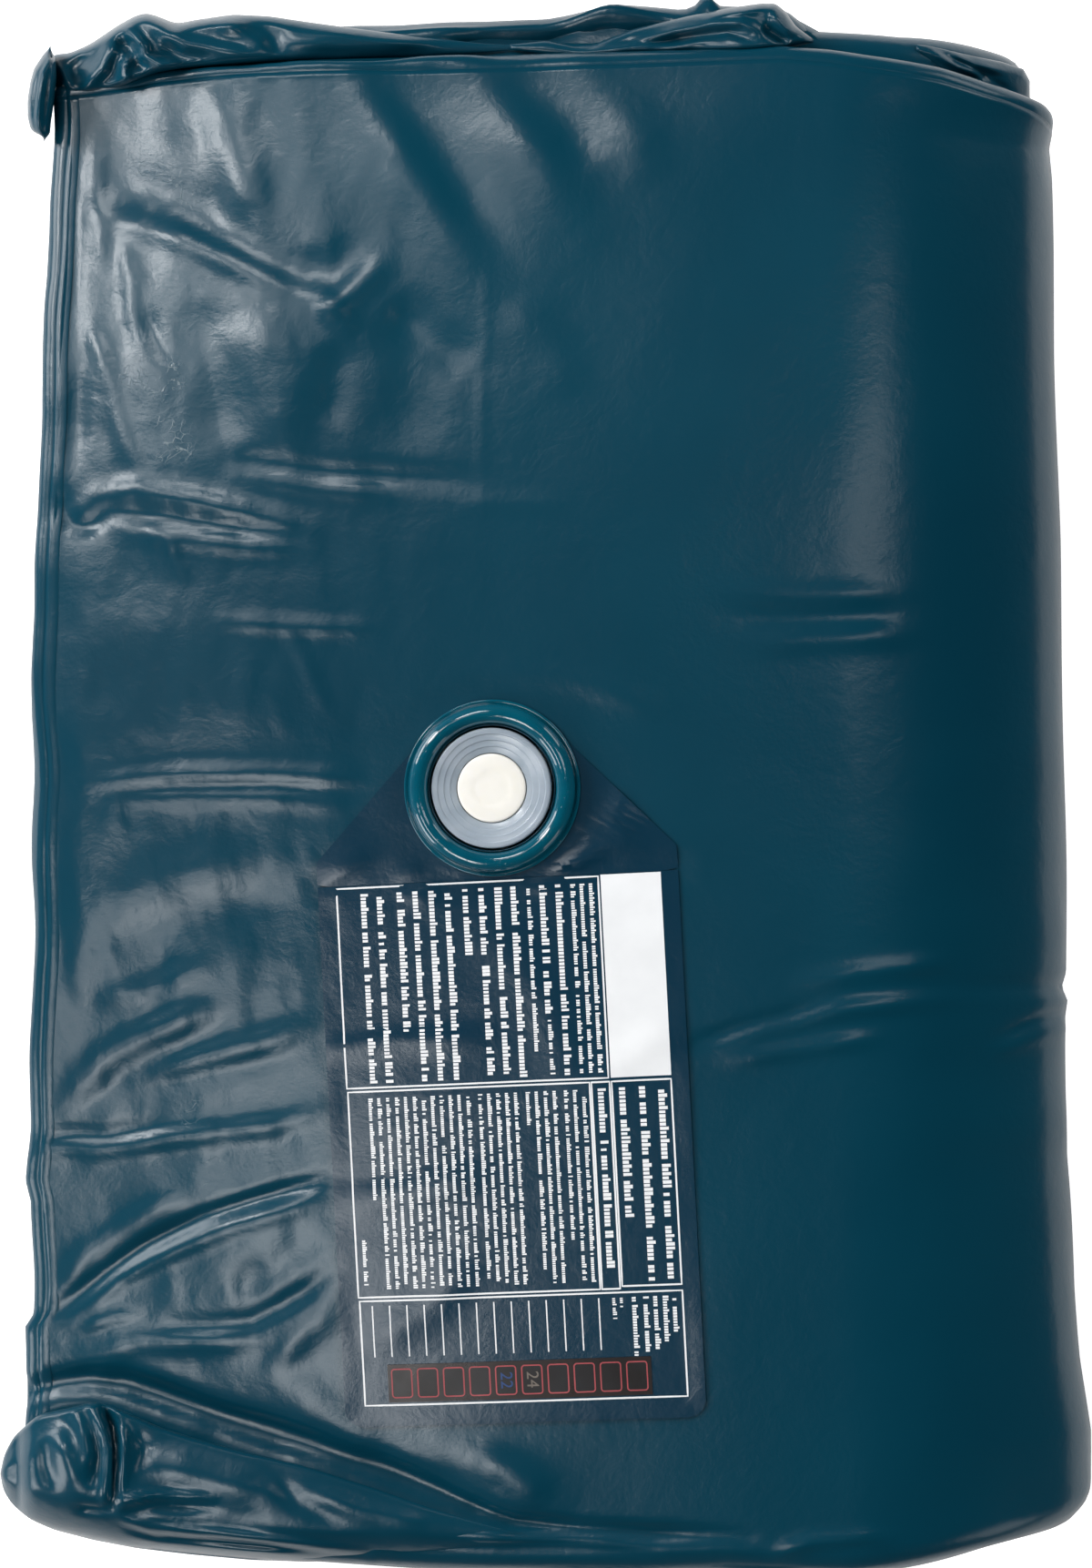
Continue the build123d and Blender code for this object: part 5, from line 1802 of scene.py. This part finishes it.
def make_valve(skin):
    """Collar, ring, plug, and the sleeve that stretches between the bag and the neck."""
    collar = turned("collar_bead", collar_section(), glossy_collar(), "bladder", 200)
    ring = turned("stepped_screw_ring", screw_ring_section(), milky_ring(), "cap", 180)
    plug = turned("pressed_stopper", stopper_section(), creamy_plug(), "plug", 180, stopper_arcs)
    stand_for(collar, "collar_vinyl", "valve_collar")
    stand_for(ring, "clear_plastic", "screw_ring")
    stand_for(plug, "white_plastic", "stopper")
    sleeve = turned("rolling_sleeve", boot_section(), skin, None, 120)
    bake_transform(sleeve)
    stand_for(sleeve, "vinyl", "valve_boot")


def make_tag(tag_vinyl, white, black, glass, pink):
    """The tag with its print and its thermometer strip."""
    leaf = slab("tag_leaf_sheet", *tag_leaf_grid(), 0, TAG_THICK, tag_vinyl)
    stand_for(leaf, "tag_vinyl", "tag_leaf")
    head = loop_piece("tag_head_sheet", tag_head_rings(), tag_vinyl, closed_path=True, crisp=50)
    stand_for(head, "tag_vinyl", "tag_head")
    panel = slab("blank_title_panel", spaced((43.7, 69.1, 2.5))[None, :], spaced((38.8, 124.2, 3))[:, None],
                 TAG_THICK, TAG_THICK + PANEL_THICK, white)
    stand_for(panel, "print_white", "title_panel")
    strip = slab("thermometer_band", spaced((-57.4, 54.3, 2.2))[None, :], spaced((241.8, 257.8, 2))[:, None],
                 TAG_THICK, TAG_THICK + STRIP_THICK, black)
    stand_for(strip, "strip_black", "thermometer_strip")
    windows = draped("thermometer_glasses", row_of_plates(glass), glass)
    stand_for(windows, "window_film", "thermometer_windows")
    frames = draped("thermometer_outlines", row_of_outlines(pink), pink)
    stand_for(frames, "frame_print", "thermometer_frames")
    boxes = draped("tag_boxes", box_outlines(white), white)
    stand_for(joined("tag_rules", [boxes, draped("table_rules", row_of_rules(white), white)]), "print_white")
    stand_for(block_print(white), "print_white")
    for text, window, finish in (
        ("22", 4, plain_finish("faint_blue_ink", (0.02, 0.05, 0.16), (0.03, 0.07, 0.2), 0.5)),
        ("24", 5, plain_finish("faint_brown_ink", (0.14, 0.12, 0.1), (0.2, 0.17, 0.15), 0.5)),
    ):
        digits(text, WINDOW_FIRST + window * WINDOW_PITCH, finish)


def main():
    """Finishes for what stays as the source has it, and then all the pieces."""
    # the deck's vinyl gets pale creases: partly stress whitening, partly painted glints
    skin = vinyl("teal_vinyl", (0.0008, 0.038, 0.066), (0.0014, 0.047, 0.079), glinting_crinkles=True)
    tag_vinyl = vinyl("tag_vinyl", (0.0013, 0.026, 0.052), (0.0018, 0.031, 0.059))
    white = plain_finish("white_ink", (0.84, 0.855, 0.87), (0.89, 0.905, 0.92), 0.5)
    black = plain_finish("black_film", (0.010, 0.006, 0.006), (0.018, 0.010, 0.009), 0.3)
    glass = plain_finish("dark_liquid_crystal", (0.006, 0.004, 0.004), (0.012, 0.012, 0.014), 0.34)
    pink = plain_finish("pink_ink", (0.34, 0.06, 0.07), (0.40, 0.08, 0.09), 0.45)
    rubber = plain_finish("dark_rubber", (0.02, 0.02, 0.022), (0.03, 0.03, 0.032), 0.6)
    finishes = {"valve_flange": skin, "valve_neck": milky_ring()}
    finishes.update(ring_washer=rubber, stopper_seal=rubber)
    for name, finish in finishes.items():
        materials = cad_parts[name].data.materials
        materials.clear()
        materials.append(finish)
    make_core(skin, fleece_finish())
    make_corners(skin)
    make_valve(skin)
    make_tag(tag_vinyl, white, black, glass, pink)
    studio()


main()
